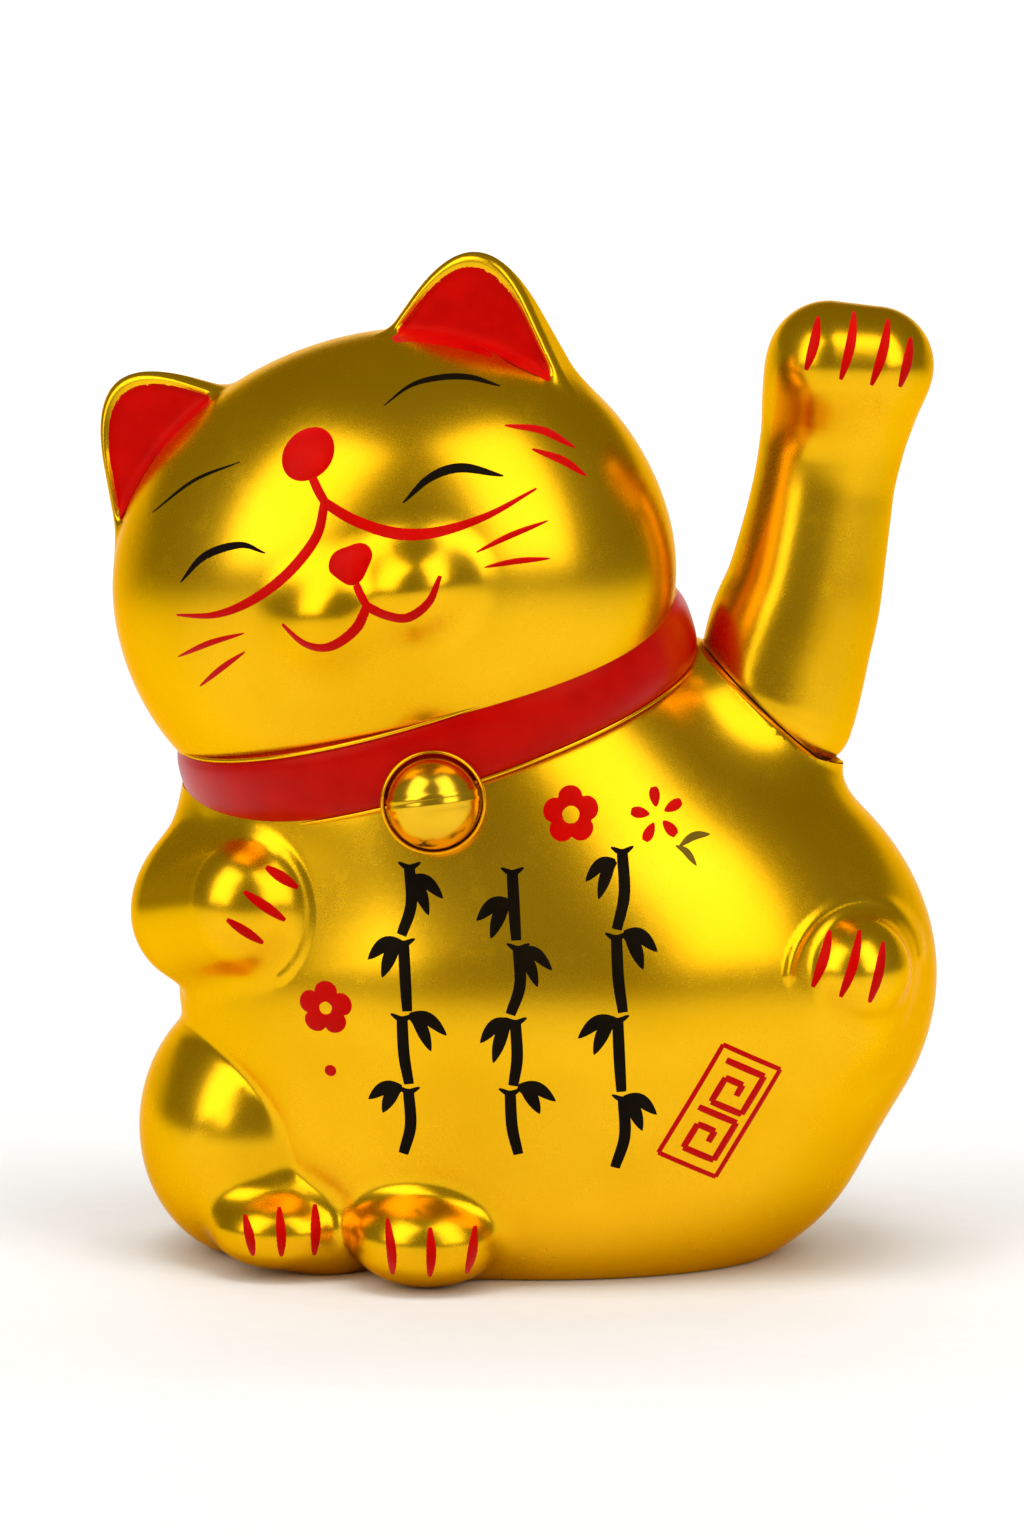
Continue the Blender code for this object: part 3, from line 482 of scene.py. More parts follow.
def make_underside(gold):
    """Flat web that closes the thigh and the feet from below, round the base plate."""
    reach = np.arange(130.0, 30.0, -0.25)
    corners = ((1, WEB_LOW), (1, WEB_HIGH), (0, WEB_HIGH), (0, WEB_LOW))

    def edge(form, depth, turn):
        spots = np.full((reach.size, 3), WEB_LOW)
        spots[:, 0] = WEB_CENTRE[0] + reach * math.cos(turn)
        spots[:, 1] = WEB_CENTRE[1] + reach * math.sin(turn)
        return float(reach[np.argmax(form(spots) < -depth)])

    def place(turn, share, height):
        inner = edge(trunk_form, WALL - 0.1, turn)
        outer = max(edge(body_form, 0.15, turn), inner + 0.5)
        radius = inner + (outer - inner) * share
        return np.array([WEB_CENTRE[0] + radius * math.cos(turn),
                         WEB_CENTRE[1] + radius * math.sin(turn), height])

    def section(angle):
        return corners[round(angle / (math.pi / 2))]

    web = bare_piece("underside_web", ring_mesh("web", place, section, 4), gold)
    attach(web, "root")


def collar_place(turn, outwards, upwards):
    """Point of the collar at this turn, measured from the middle of its section."""
    reach = COLLAR_RADIUS + outwards
    local = np.array([reach * COLLAR_STRETCH * math.cos(turn), reach * math.sin(turn), upwards])
    return NECK + NECK_AXES @ local


def make_collar(red, gold):
    thick, high = COLLAR_SECTION

    def section(angle):
        across = math.copysign(abs(math.cos(angle)) ** 0.62, math.cos(angle))
        upward = math.copysign(abs(math.sin(angle)) ** 0.75, math.sin(angle))
        return (thick - 0.4) * across, high * upward

    collar = bare_piece("collar_ring", ring_mesh("collar", collar_place, section), red)
    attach(collar, "root")
    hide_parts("collar")
    for name, up, out in (("collar_upper_edge", high - 0.75, 4.6),
                          ("collar_lower_edge", 0.75 - high, 4.6)):
        def wire(angle, up=up, out=out):
            return out + 0.55 * math.cos(angle), up + 0.55 * math.sin(angle)

        edge = bare_piece(name, ring_mesh(name, collar_place, wire, 12), gold)
        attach(edge, "root")


def turned_mesh(name, profile, origin, axis, steps=64):
    """Revolve (radius, height) points in millimetres; open ends lie on the axis."""
    bm = bmesh.new()
    verts = [bm.verts.new((radius, 0, height)) for radius, height in profile]
    edges = [bm.edges.new(pair) for pair in zip(verts, verts[1:])]
    if profile[0][0] > 0:
        edges.append(bm.edges.new((verts[-1], verts[0])))
    bmesh.ops.spin(bm, geom=verts + edges, cent=(0, 0, 0), axis=(0, 0, 1), dvec=(0, 0, 0),
                   angle=2 * math.pi, steps=steps, use_merge=False)
    bmesh.ops.remove_doubles(bm, verts=bm.verts, dist=0.0005)
    bmesh.ops.recalc_face_normals(bm, faces=bm.faces)
    if bm.calc_volume(signed=True) < 0:
        bmesh.ops.reverse_faces(bm, faces=bm.faces)
    bm.transform(frame_along(axis, origin))
    bm.transform(Matrix.Scale(MM, 4))
    mesh = bpy.data.meshes.new(name)
    bm.to_mesh(mesh)
    bm.free()
    return mesh


def bell_profile():
    """Half outline of the bell, from pole to pole, with two raised bands at its waist."""
    outline = []
    for step in range(61):
        angle = math.pi * (step / 60 - 0.5)
        height = BELL_RADIUS * math.sin(angle)
        lift = 0.0
        for middle in (-0.1, 1.9):
            lift += 0.3 * math.exp(-((height - middle) / 0.7) ** 4)
        outline.append((BELL_RADIUS * math.cos(angle) + lift if 0 < step < 60 else 0.0, height))
    return outline


def make_bell(gold, bright):
    seat = [(BELL_RADIUS + 0.6, 0), (13.6, 0), (14.1, 0.5)]
    for step in range(9):
        angle = math.pi * step / 8
        seat.append((13.55 + 0.55 * math.cos(angle), 4.6 + 0.9 * math.sin(angle)))
    seat.append((BELL_RADIUS + 0.6, 4.0))
    mesh = turned_mesh("seat", seat, BELL + np.array([0, BELL_BACK, 0]), (0, -1, 0))
    ring = bare_piece("bell_seat_ring", mesh, gold)
    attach(ring, "root")
    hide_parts("bell_seat")
    axis = turned_frame(-8.0, about_x=-6.0)[:, 2]
    mesh = turned_mesh("ball", bell_profile(), BELL, axis, 96)
    bm = bmesh.new()
    bm.from_mesh(mesh)
    cut_away(bm, BELL + np.array([0, BELL_BACK, 0]), (0, 1, 0))
    bmesh.ops.holes_fill(bm, edges=[e for e in bm.edges if e.is_boundary], sides=0)
    bm.to_mesh(mesh)
    bm.free()
    ball = bare_piece("bell_ball", mesh, bright, 50)
    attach(ball, "root")
    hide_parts("bell")


def winding_tree():
    """One layer of round turns stacked along Z; each turn is a closed ring of wire."""
    tree = bpy.data.node_groups.new("winding", "GeometryNodeTree")
    tree.interface.new_socket("Geometry", in_out="OUTPUT", socket_type="NodeSocketGeometry")
    sizes = (("Turns", "NodeSocketInt"), ("Pitch", "NodeSocketVector"),
             ("Ring Radius", "NodeSocketFloat"), ("Wire Radius", "NodeSocketFloat"),
             ("Material", "NodeSocketMaterial"))
    keys = {name: tree.interface.new_socket(name, in_out="INPUT", socket_type=kind).identifier
            for name, kind in sizes}
    given = tree.nodes.new("NodeGroupInput").outputs
    made = {name: tree.nodes.new(kind) for name, kind in (
        ("ring", "GeometryNodeCurvePrimitiveCircle"), ("wire", "GeometryNodeCurvePrimitiveCircle"),
        ("turn", "GeometryNodeCurveToMesh"), ("stack", "GeometryNodeMeshLine"),
        ("place", "GeometryNodeInstanceOnPoints"), ("real", "GeometryNodeRealizeInstances"),
        ("paint", "GeometryNodeSetMaterial"), ("end", "NodeGroupOutput"))}
    made["ring"].inputs["Resolution"].default_value = 64
    made["wire"].inputs["Resolution"].default_value = 8
    for output, name, socket in (
            (given["Ring Radius"], "ring", "Radius"), (given["Wire Radius"], "wire", "Radius"),
            (made["ring"].outputs["Curve"], "turn", "Curve"),
            (made["wire"].outputs["Curve"], "turn", "Profile Curve"),
            (given["Turns"], "stack", "Count"), (given["Pitch"], "stack", "Offset"),
            (made["stack"].outputs["Mesh"], "place", "Points"),
            (made["turn"].outputs["Mesh"], "place", "Instance"),
            (made["place"].outputs["Instances"], "real", "Geometry"),
            (made["real"].outputs["Geometry"], "paint", "Geometry"),
            (given["Material"], "paint", "Material"),
            (made["paint"].outputs["Geometry"], "end", "Geometry")):
        tree.links.new(output, made[name].inputs[socket])
    return tree, keys


def make_winding(copper):
    """Outer layer of turns on the drive coil, inside the bobbin's flanges."""
    core = frame["nodes"]["coil_winding"]
    corners = np.array([core.matrix_world @ Vector(corner) for corner in core.bound_box])
    low, high = corners.min(axis=0), corners.max(axis=0)
    wire = WIRE_RADIUS * MM
    turns = int((high[2] - low[2]) / (2 * wire))
    tree, keys = winding_tree()
    holder = bpy.data.objects.new("holder", bpy.data.meshes.new("holder"))
    bpy.context.scene.collection.objects.link(holder)
    modifier = holder.modifiers.new("winding", "NODES")
    modifier.node_group = tree
    ring = float(high[0] - low[0]) / 2 - wire * 0.6
    for name, value in (("Turns", turns), ("Pitch", (0.0, 0.0, 2 * wire)), ("Ring Radius", ring),
                        ("Wire Radius", wire), ("Material", copper)):
        modifier[keys[name]] = value
    bpy.context.view_layer.update()
    graph = bpy.context.evaluated_depsgraph_get()
    mesh = bpy.data.meshes.new_from_object(holder.evaluated_get(graph))
    bpy.data.objects.remove(holder)
    start = (low + high) / 2
    start[2] -= (turns - 1) * wire
    mesh.transform(Matrix.Translation(Vector(start)))
    mesh.materials.clear()
    coil = bare_piece("coil_turns", mesh, copper)
    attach(coil, "root")


# ---- painted marks --------------------------------------------------------------------

class Canvas:
    """A skin that marks are painted on, reached along one direction from a flat drawing."""

    def __init__(self, tree, origin=(0, 0, 0), axes=UPRIGHT):
        self.tree = tree
        self.origin = np.array(origin, float)
        self.axes = axes

    def place(self, across, up, lift):
        """Point this far above the skin, straight behind a point of the drawing."""
        start = self.origin + self.axes @ np.array([across, -140.0, up])
        spot, normal, _, _ = self.tree.ray_cast(Vector(start), Vector(self.axes[:, 1]))
        if spot is None:
            raise ValueError(f"no skin behind ({across:.1f}, {up:.1f})")
        return np.array(spot + normal * lift)


SINK = 0.35             # how far the back of a painted mark lies under the skin
LIFT = 0.14             # how far its middle stands proud


def stroke(canvas, route, width, tip=0.25, start_tip=None, belly=0.5):
    """Brush stroke: a domed strip along the route, widest at belly, narrowed to its tips."""
    line = smooth_route(route)
    start_tip = tip if start_tip is None else start_tip
    steps = np.linalg.norm(np.diff(line, axis=0), axis=1)
    along = np.concatenate([[0], np.cumsum(steps)]) / steps.sum()
    heading = np.gradient(line, axis=0)
    heading /= np.linalg.norm(heading, axis=1)[:, None]
    sideways = np.stack([-heading[:, 1], heading[:, 0]], axis=1)
    offsets = (-1.0, -0.7, -0.25, 0.25, 0.7, 1.0)
    lifts = (-0.2, 0.6, 1.0, 1.0, 0.6, -0.2)
    points, faces = [], []
    ring = len(offsets) + 2
    for spot, side, share in zip(line, sideways, along):
        if share < belly:
            end, swell = start_tip, share / belly
        else:
            end, swell = tip, (1 - share) / (1 - belly)
        fullness = end + (1 - end) * max(0.0, math.sin(math.pi / 2 * swell)) ** 0.8
        half = width / 2 * fullness
        for offset, lift in zip(offsets, lifts):
            points.append(canvas.place(*(spot + side * half * offset), LIFT * lift))
        points.append(canvas.place(*(spot + side * half), -SINK))
        points.append(canvas.place(*(spot - side * half), -SINK))
    for start in range(0, len(points) - ring, ring):
        for k in range(ring):
            after = (k + 1) % ring
            faces.append((start + k, start + after, start + ring + after, start + ring + k))
    faces.append(tuple(reversed(range(ring))))
    faces.append(tuple(range(len(points) - ring, len(points))))
    return points, faces


def patch(canvas, centre, outline, turns=48, inner=0.0, rings=6, dome=0.0):
    """Painted spot: a sheet out to outline(angle), raised by dome, open inside inner."""
    shares = np.linspace(0.0, 1.0, rings + 1)
    points, faces = [], []
    count = len(shares)
    for layer in (0, 1):
        for share in shares:
            edge = min(1.0, 5 * (1 - share), 5 * share + (1.0 if inner == 0 else 0.0))
            crown = dome * (1 - share ** 2)
            lift = -SINK if layer else LIFT * (1.2 * edge - 0.2) + crown
            for k in range(turns):
                angle = 2 * math.pi * k / turns
                reach = inner + (outline(angle) - inner) * max(share, 0.02 if inner == 0 else 0.0)
                points.append(canvas.place(centre[0] + reach * math.cos(angle),
                                           centre[1] + reach * math.sin(angle), lift))
    back = count * turns
    for k in range(turns):
        after = (k + 1) % turns
        for row in range(count - 1):
            a, b = row * turns, (row + 1) * turns
            faces.append((a + k, b + k, b + after, a + after))
            faces.append((back + a + after, back + b + after, back + b + k, back + a + k))
        rim = (count - 1) * turns
        faces.append((rim + k, back + rim + k, back + rim + after, rim + after))
        if inner:
            faces.append((after, back + after, back + k, k))
    if not inner:
        faces.append(tuple(range(turns)))
        faces.append(tuple(back + k for k in reversed(range(turns))))
    return points, faces


def paint(name, marks, material, body="root"):
    """One piece from several painted marks."""
    points, faces = [], []
    for mark_points, mark_faces in marks:
        base = len(points)
        points.extend(mark_points)
        faces.extend(tuple(base + k for k in face) for face in mark_faces)
    mesh = bpy.data.meshes.new(name)
    mesh.from_pydata((np.array(points) * MM).tolist(), [], faces)
    bm = bmesh.new()
    bm.from_mesh(mesh)
    bmesh.ops.recalc_face_normals(bm, faces=bm.faces)
    bm.to_mesh(mesh)
    bm.free()
    obj = bare_piece(name, mesh, material, 50)
    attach(obj, body)
    return obj


def round_spot(radius, squash=1.0):
    return lambda angle: radius * (1 - (1 - squash) * math.sin(angle) ** 2)


def flower_edge(radius, lean=0.0):
    """Outline of a five-petalled flower."""
    return lambda angle: radius * (0.66 + 0.34 * abs(math.cos(2.5 * (angle - lean))) ** 0.55)


def nose_edge(angle):
    """Rounded triangle, point down."""
    wide = 6.2 * (1 - 0.1 * math.sin(3 * angle + math.pi))
    return wide * (1 - 0.2 * abs(math.sin(angle)))


def petal(canvas, centre, angle, start, length, width):
    """Loose petal: a short stroke that points away from the flower's centre."""
    ray = np.array([math.cos(angle), math.sin(angle)])
    centre = np.array(centre, float)
    route = [centre + ray * (start + length * share) for share in (0.0, 0.5, 1.0)]
    return stroke(canvas, route, width, tip=0.55, start_tip=0.2, belly=0.65)


def make_face(canvas, red, black):
    marks = [patch(canvas, (5, 33), round_spot(7.6, 0.84), rings=10, dome=0.7),
             stroke(canvas, [(5.2, 27.5), (6.2, 23.5), (7.4, 19.9)], 2.7, 0.9),
             stroke(canvas, [(7.4, 20.3), (2.8, 12.4), (-7.8, 5.7), (-20.6, 1.9), (-32.4, 1.3),
                             (-44.4, 4.0)], 3.1, 0.2, 0.85, 0.3),
             stroke(canvas, [(7.2, 20.1), (13.6, 13.4), (22.3, 7.1), (33.2, 3.1), (45.4, 2.2),
                             (58.2, 4.0)], 3.1, 0.2, 0.85, 0.3)]
    paint("cheek_lines", marks, red)
    marks = [patch(canvas, (10.4, 3.0), nose_edge, rings=10, dome=1.3),
             stroke(canvas, [(10.6, -2.4), (11.2, -5.5), (11.9, -8.7)], 2.5, 0.85),
             stroke(canvas, [(12.1, -8.4), (6.6, -13.4), (-1.5, -15.6), (-7.6, -13.0),
                             (-12.5, -6.1)], 2.9, 0.35, 0.9, 0.3),
             stroke(canvas, [(11.7, -8.4), (15.7, -12.2), (21.2, -14.9), (28.1, -12.8),
                             (32.7, -7.5)], 2.9, 0.35, 0.9, 0.3)]
    paint("nose_and_mouth", marks, red)
    routes = ([(-48.5, -6.8), (-36.5, -5.5), (-25.4, -5.6)],
              [(-45.0, -16.0), (-35.7, -12.8), (-27.0, -10.4)],
              [(41.1, -5.6), (49.6, -4.8), (58.6, -4.9)],
              [(41.7, -10.1), (49.2, -11.7), (56.4, -14.3)],
              [(54.2, 22.2), (61.8, 17.3), (67.7, 9.9)],
              [(59.2, 13.9), (64.8, 8.2), (68.8, 1.9)])
    paint("whiskers", [stroke(canvas, route, 1.75, 0.2) for route in routes], red)
    marks = [stroke(canvas, [(-40.2, 12.0), (-30.4, 16.7), (-19.0, 16.7), (-12.3, 12.7)], 2.3, 0.15),
             stroke(canvas, [(27.1, 13.1), (35.0, 16.7), (42.8, 16.2), (51.8, 10.3)], 2.6, 0.15),
             stroke(canvas, [(-46.1, 31.1), (-30.1, 35.9), (-14.8, 36.8)], 1.0, 0.2),
             stroke(canvas, [(26.3, 38.0), (33.2, 40.3), (40.4, 39.4), (47.2, 36.6), (53.7, 31.8)],
                    1.5, 0.15)]
    paint("eyes_and_brows", marks, black)


def ear_lining(canvas, side):
    """Red lining that fills the dished front of an ear."""
    heart = np.array([44.0 * side, 47.0])

    def edge(angle):
        reach = np.linspace(0.5, 60, 400)
        spots = np.zeros((400, 3))
        spots[:, 0] = heart[0] + reach * math.cos(angle)
        spots[:, 2] = heart[1] + reach * math.sin(angle)
        inside = ear_outline(spots, side, 2.6, 26.8)
        ear_bottom = bare_head_form(HEAD + (spots + np.array([0, EAR_Y - 8.0, 0])) @ HEAD_AXES.T) + 1.0
        blocked = (inside > 0) | (ear_bottom < 0)
        return float(reach[np.argmax(blocked)])

    return patch(canvas, heart, edge, turns=96, rings=24)


def make_ears(canvas, red):
    paint("ear_linings", [ear_lining(canvas, side) for side in (-1, 1)], red)


def bamboo(canvas, across, top, foot, leaves):
    """Painted bamboo stem with leaf pairs, brushed downwards."""
    marks = []
    length = (top - foot) / 4
    for joint in range(4):
        upper = top - joint * length
        lean = 1.1 * math.sin(1.7 * joint + across)
        route = [(across + lean, upper), (across + lean + 0.5, upper - length / 2),
                 (across - lean, upper - length + 1.8)]
        marks.append(stroke(canvas, route, 3.4, 0.85, 0.95))
        marks.append(stroke(canvas, [(across + lean - 3.0, upper + 0.9), (across + lean, upper - 0.4),
                                     (across + lean + 3.0, upper + 1.0)], 1.8, 0.3))
    for height, reach, droop, width in leaves:
        up = foot + (top - foot) * height
        for share, drop in ((1.0, 1.0), (0.62, 1.9)):
            route = [(across + math.copysign(1.0, reach), up),
                     (across + reach * 0.55 * share, up + 1.0 - droop * 0.35 * drop),
                     (across + reach * share, up - droop * drop)]
            marks.append(stroke(canvas, route, width, 0.08, 0.35, 0.42))
    return marks


def make_belly_marks(canvas, red, black, olive):
    plans = (((0.96, 10, 5, 3.8), (0.75, -10, 5, 4.0), (0.51, 11, 5, 3.8), (0.26, -10, 4, 4.0)),
             ((0.9, -10, 5, 4.0), (0.74, 10, 5, 3.6), (0.5, -9, 6, 3.8), (0.27, 11, 4, 4.0)),
             ((0.97, -9, 5, 3.6), (0.76, 10, 5, 4.0), (0.5, -11, 5, 4.0), (0.25, 10, 5, 4.0)))
    marks = []
    for across, (top, foot), plan in zip((-29.5, -0.5, 27.5), ((116, 36), (115, 37), (120, 33)), plans):
        marks.extend(bamboo(canvas, across, top, foot, plan))
    paint("bamboo_stems", marks, black)
    marks = [patch(canvas, (14.6, 129.5), flower_edge(7.8, 0.35), 80, inner=2.1),
             patch(canvas, (-51.0, 77.2), flower_edge(7.5, 0.3), 80, inner=1.5),
             patch(canvas, (-49.8, 60.0), round_spot(1.7), 24, rings=3)]
    for k in range(5):
        marks.append(petal(canvas, (37.8, 128.6), math.radians(90 + 72 * k + 8), 2.2, 5.0, 3.2))
    paint("blossoms", marks, red)
    marks = [stroke(canvas, [(43.5, 120.5), (47.5, 122.9), (52.0, 123.2)], 2.3, 0.1),
             stroke(canvas, [(42.6, 120.8), (45.4, 119.2), (48.2, 115.6)], 2.0, 0.1)]
    paint("leaves", marks, olive)
    make_panel(canvas, red)


def make_panel(canvas, red):
    """Red framed panel with a plain fret, drawn askew on the belly."""
    corner = np.array([55.2, 68.6])
    along = np.array([15.6, -8.1])
    down = np.array([-17.1, -29.9])

    def at(u, v):
        return tuple(corner + along * u + down * v)

    edges = [(at(0, 0), at(1, 0)), (at(1, 0), at(1, 1)), (at(1, 1), at(0, 1)), (at(0, 1), at(0, 0))]
    marks = [stroke(canvas, [a, np.add(a, b) / 2, b], 1.5, 0.95) for a, b in edges]
    for top in (0.1, 0.53):
        fret = [(0.17, top), (0.83, top), (0.83, top + 0.35), (0.3, top + 0.35), (0.3, top + 0.13),
                (0.6, top + 0.13), (0.6, top + 0.23)]
        for (u0, v0), (u1, v1) in zip(fret, fret[1:]):
            a, b = np.array(at(u0, v0)), np.array(at(u1, v1))
            marks.append(stroke(canvas, [a, (a + b) / 2, b], 2.1, 0.9))
    paint("framed_panel", marks, red)


def make_claws(body, arm, red):
    plans = {
        "left_foot_claws": (body, "root", (
            (-73.4, 18.9, -71.1, 8.0), (-64.1, 21.0, -63.4, 8.1), (-54.5, 21.4, -54.6, 7.9))),
        "front_foot_claws": (body, "root", (
            (-34.5, 21.1, -33.1, 6.0), (-23.0, 19.6, -23.1, 6.0), (-11.0, 19.1, -13.2, 6.0))),
        "side_paw_claws": (body, "root", (
            (84.3, 97.0, 79.5, 82.4), (92.2, 97.2, 86.9, 80.0), (98.5, 94.2, 94.7, 78.4))),
        "folded_paw_claws": (body, "root", (
            (-67.1, 114.3, -58.5, 108.8), (-72.8, 108.3, -61.9, 100.3),
            (-77.4, 100.8, -67.8, 94.2))),
        "raised_paw_claws": (arm, "waving_arm", (
            (81.8, 259.8, 78.3, 245.8), (91.7, 261.0, 87.6, 243.3),
            (100.9, 259.1, 96.0, 241.7), (106.9, 254.3, 103.8, 241.1)))}
    for name, (tree, rider, claws) in plans.items():
        canvas = Canvas(tree)
        marks = []
        for x0, z0, x1, z1 in claws:
            bow = 0.06 * (z0 - z1)
            middle = ((x0 + x1) / 2 + bow * 0.5, (z0 + z1) / 2)
            marks.append(stroke(canvas, [(x0, z0), middle, (x1, z1)], 3.0, 0.35))
        paint(name, marks, red, rider)


# ---- materials ------------------------------------------------------------------------

class Shade:
    """A value in a material, on which plain arithmetic adds its own nodes."""

    def __init__(self, finish, socket):
        self.finish = finish
        self.socket = socket

    def maths(self, operation, other, swap=False):
        pair = (other, self) if swap else (self, other)
        return self.finish.node("ShaderNodeMath", {"operation": operation}, dict(enumerate(pair)))

    def __add__(self, other):
        return self.maths("ADD", other)

    def __sub__(self, other):
        return self.maths("SUBTRACT", other)

    def __mul__(self, other):
        return self.maths("MULTIPLY", other)

    def __rsub__(self, other):
        return self.maths("SUBTRACT", other, swap=True)

    def __pow__(self, other):
        return self.maths("POWER", other)

    __radd__ = __add__
    __rmul__ = __mul__


def titled(name):
    """Socket name as the shader spells it."""
    return name.replace("_", " ").title().replace("Ior", "IOR")


class Finish:
    """A Principled material built up node by node."""

    def __init__(self, name, **constants):
        self.material = bpy.data.materials.new(name)
        self.material.use_nodes = True
        self.nodes = self.material.node_tree.nodes
        self.shader = self.nodes["Principled BSDF"]
        for socket, value in constants.items():
            self.shader.inputs[titled(socket)].default_value = value
        self.place = self.node("ShaderNodeTexCoord", output="Object")

    def node(self, kind, settings=None, inputs=None, output=0):
        made = self.nodes.new(kind)
        for key, value in (settings or {}).items():
            setattr(made, key, value)
        for key, value in (inputs or {}).items():
            self.connect(made.inputs[key], value)
        return Shade(self, made.outputs[output])

    def connect(self, socket, value):
        if isinstance(value, Shade):
            self.material.node_tree.links.new(value.socket, socket)
        else:
            socket.default_value = value

    def feed(self, **values):
        for name, value in values.items():
            self.connect(self.shader.inputs[titled(name)], value)
        return self.material

    def noise(self, size, detail=3.0, roughness=0.55, stretch=(1, 1, 1)):
        """Noise whose blotches are about size millimetres across."""
        where = self.node("ShaderNodeMapping", None, {"Vector": self.place, "Scale": stretch})
        inputs = {"Vector": where, "Scale": 1000.0 / size, "Detail": detail, "Roughness": roughness}
        return self.node("ShaderNodeTexNoise", None, inputs, "Fac")

    def between(self, mask, first, second):
        """Colour that runs from first to second."""
        settings = {"data_type": "RGBA"}
        inputs = {"Factor": mask}
        made = self.nodes.new("ShaderNodeMix")
        for key, value in settings.items():
            setattr(made, key, value)
        self.connect(made.inputs[0], inputs["Factor"])
        for socket, value in ((made.inputs[6], first), (made.inputs[7], second)):
            self.connect(socket, (*value, 1.0) if isinstance(value, tuple) else value)
        return Shade(self, made.outputs[2])

    def stepped(self, value, low, high):
        """Value spread so that low becomes 0 and high becomes 1."""
        inputs = {"Value": value, "From Min": low, "From Max": high}
        return self.node("ShaderNodeMapRange", {"clamp": True}, inputs)

    def bump(self, height, strength, depth):
        """Normal for a relief that is depth millimetres deep."""
        inputs = {"Height": height, "Strength": strength, "Distance": depth * MM}
        return self.node("ShaderNodeBump", None, inputs, "Normal")


def metallised_gold(name, deep, light, roughness):
    """Vacuum-metallised plastic: satin gold with fine grain and faint handling marks."""
    finish = Finish(name, metallic=1.0, specular_tint=(1.0, 0.72, 0.2, 1.0))
    clouds = finish.noise(55, 2)
    grain = finish.noise(0.45, 2, 0.7)
    rubbed = finish.stepped(finish.noise(14, 4, 0.65), 0.56, 0.74)
    colour = finish.between(finish.stepped(clouds, 0.3, 0.7), deep, light)
    peel = finish.noise(3.2, 1)
    relief = grain * 0.6 + peel * 0.9
    return finish.feed(base_color=colour,
                       roughness=roughness + (grain - 0.5) * 0.08 + rubbed * 0.05,
                       normal=finish.bump(relief, 0.22, 0.05))


def lacquer(name, deep, light, roughness, coat, sheen, tint=(1.0, 1.0, 1.0)):
    """Brushed or sprayed lacquer with soft unevenness."""
    finish = Finish(name, coat_weight=coat, coat_roughness=0.15, specular_ior_level=sheen,
                    specular_tint=(*tint, 1.0))
    clouds = finish.stepped(finish.noise(9, 3), 0.3, 0.7)
    fine = finish.noise(0.8, 2)
    return finish.feed(base_color=finish.between(clouds, deep, light),
                       roughness=roughness + fine * 0.06,
                       normal=finish.bump(fine * 0.5 + clouds * 0.5, 0.12, 0.06))


def moulded(name, deep, light, roughness, texture=0.35):
    """Moulded plastic or rubber: fine sparked texture, faint flow clouds and scuffs."""
    finish = Finish(name)
    clouds = finish.stepped(finish.noise(20, 3), 0.3, 0.7)
    spark = finish.noise(texture, 2, 0.7)
    scuffs = finish.stepped(finish.noise(5, 5, 0.7, (1, 0.2, 1)), 0.6, 0.75)
    return finish.feed(base_color=finish.between(clouds, deep, light),
                       roughness=roughness + spark * 0.1 - scuffs * 0.12,
                       normal=finish.bump(spark, 0.3, 0.05))


def drawn_metal(name, deep, light, roughness, stretch):
    """Drawn or turned metal with fine lines along one direction."""
    finish = Finish(name, metallic=1.0)
    lines = finish.noise(0.6, 3, 0.6, stretch)
    tarnish = finish.stepped(finish.noise(8, 3), 0.35, 0.75)
    return finish.feed(base_color=finish.between(tarnish, light, deep),
                       roughness=roughness + lines * 0.14,
                       normal=finish.bump(lines, 0.2, 0.03))


def pale_floor():
    finish = Finish("floor")
    grain = finish.noise(6, 2)
    return finish.feed(base_color=finish.between(grain, (0.80, 0.80, 0.79), (0.84, 0.84, 0.83)),
                       roughness=0.6 + grain * 0.05)


# ---- stage ----------------------------------------------------------------------------

TARGET = (-0.0011, 0.0163, 0.1325)
ELEVATION = 7.0
DISTANCE = 1.8
LENS = 151.5


def make_camera():
    tilt = math.radians(ELEVATION)
    back = Vector((0, -math.cos(tilt), math.sin(tilt)))
    data = bpy.data.cameras.new("camera")
    data.lens = LENS
    camera = bpy.data.objects.new("camera", data)
    camera.location = Vector(TARGET) + back * DISTANCE
    camera.rotation_euler = (-back).to_track_quat("-Z", "Y").to_euler()
    bpy.context.scene.collection.objects.link(camera)
    bpy.context.scene.camera = camera


def soft_light(name, place, size, watts, aim=(0, 0, 0.14)):
    data = bpy.data.lights.new(name, "AREA")
    data.shape = "RECTANGLE"
    data.size, data.size_y = size
    data.energy = watts
    light = bpy.data.objects.new(name, data)
    light.location = place
    heading = Vector(aim) - Vector(place)
    light.rotation_euler = heading.to_track_quat("-Z", "Y").to_euler()
    bpy.context.scene.collection.objects.link(light)


def sweep_profile():
    """Section of the backdrop: a floor that curves up into a low wall."""
    line = [(-3.0, 0.0), (1.6, 0.0)]
    for step in range(1, 17):
        angle = math.pi / 2 * step / 16
        line.append((1.6 + 0.5 * math.sin(angle), 0.5 * (1 - math.cos(angle))))
    return [*line, (2.1, 0.9)]


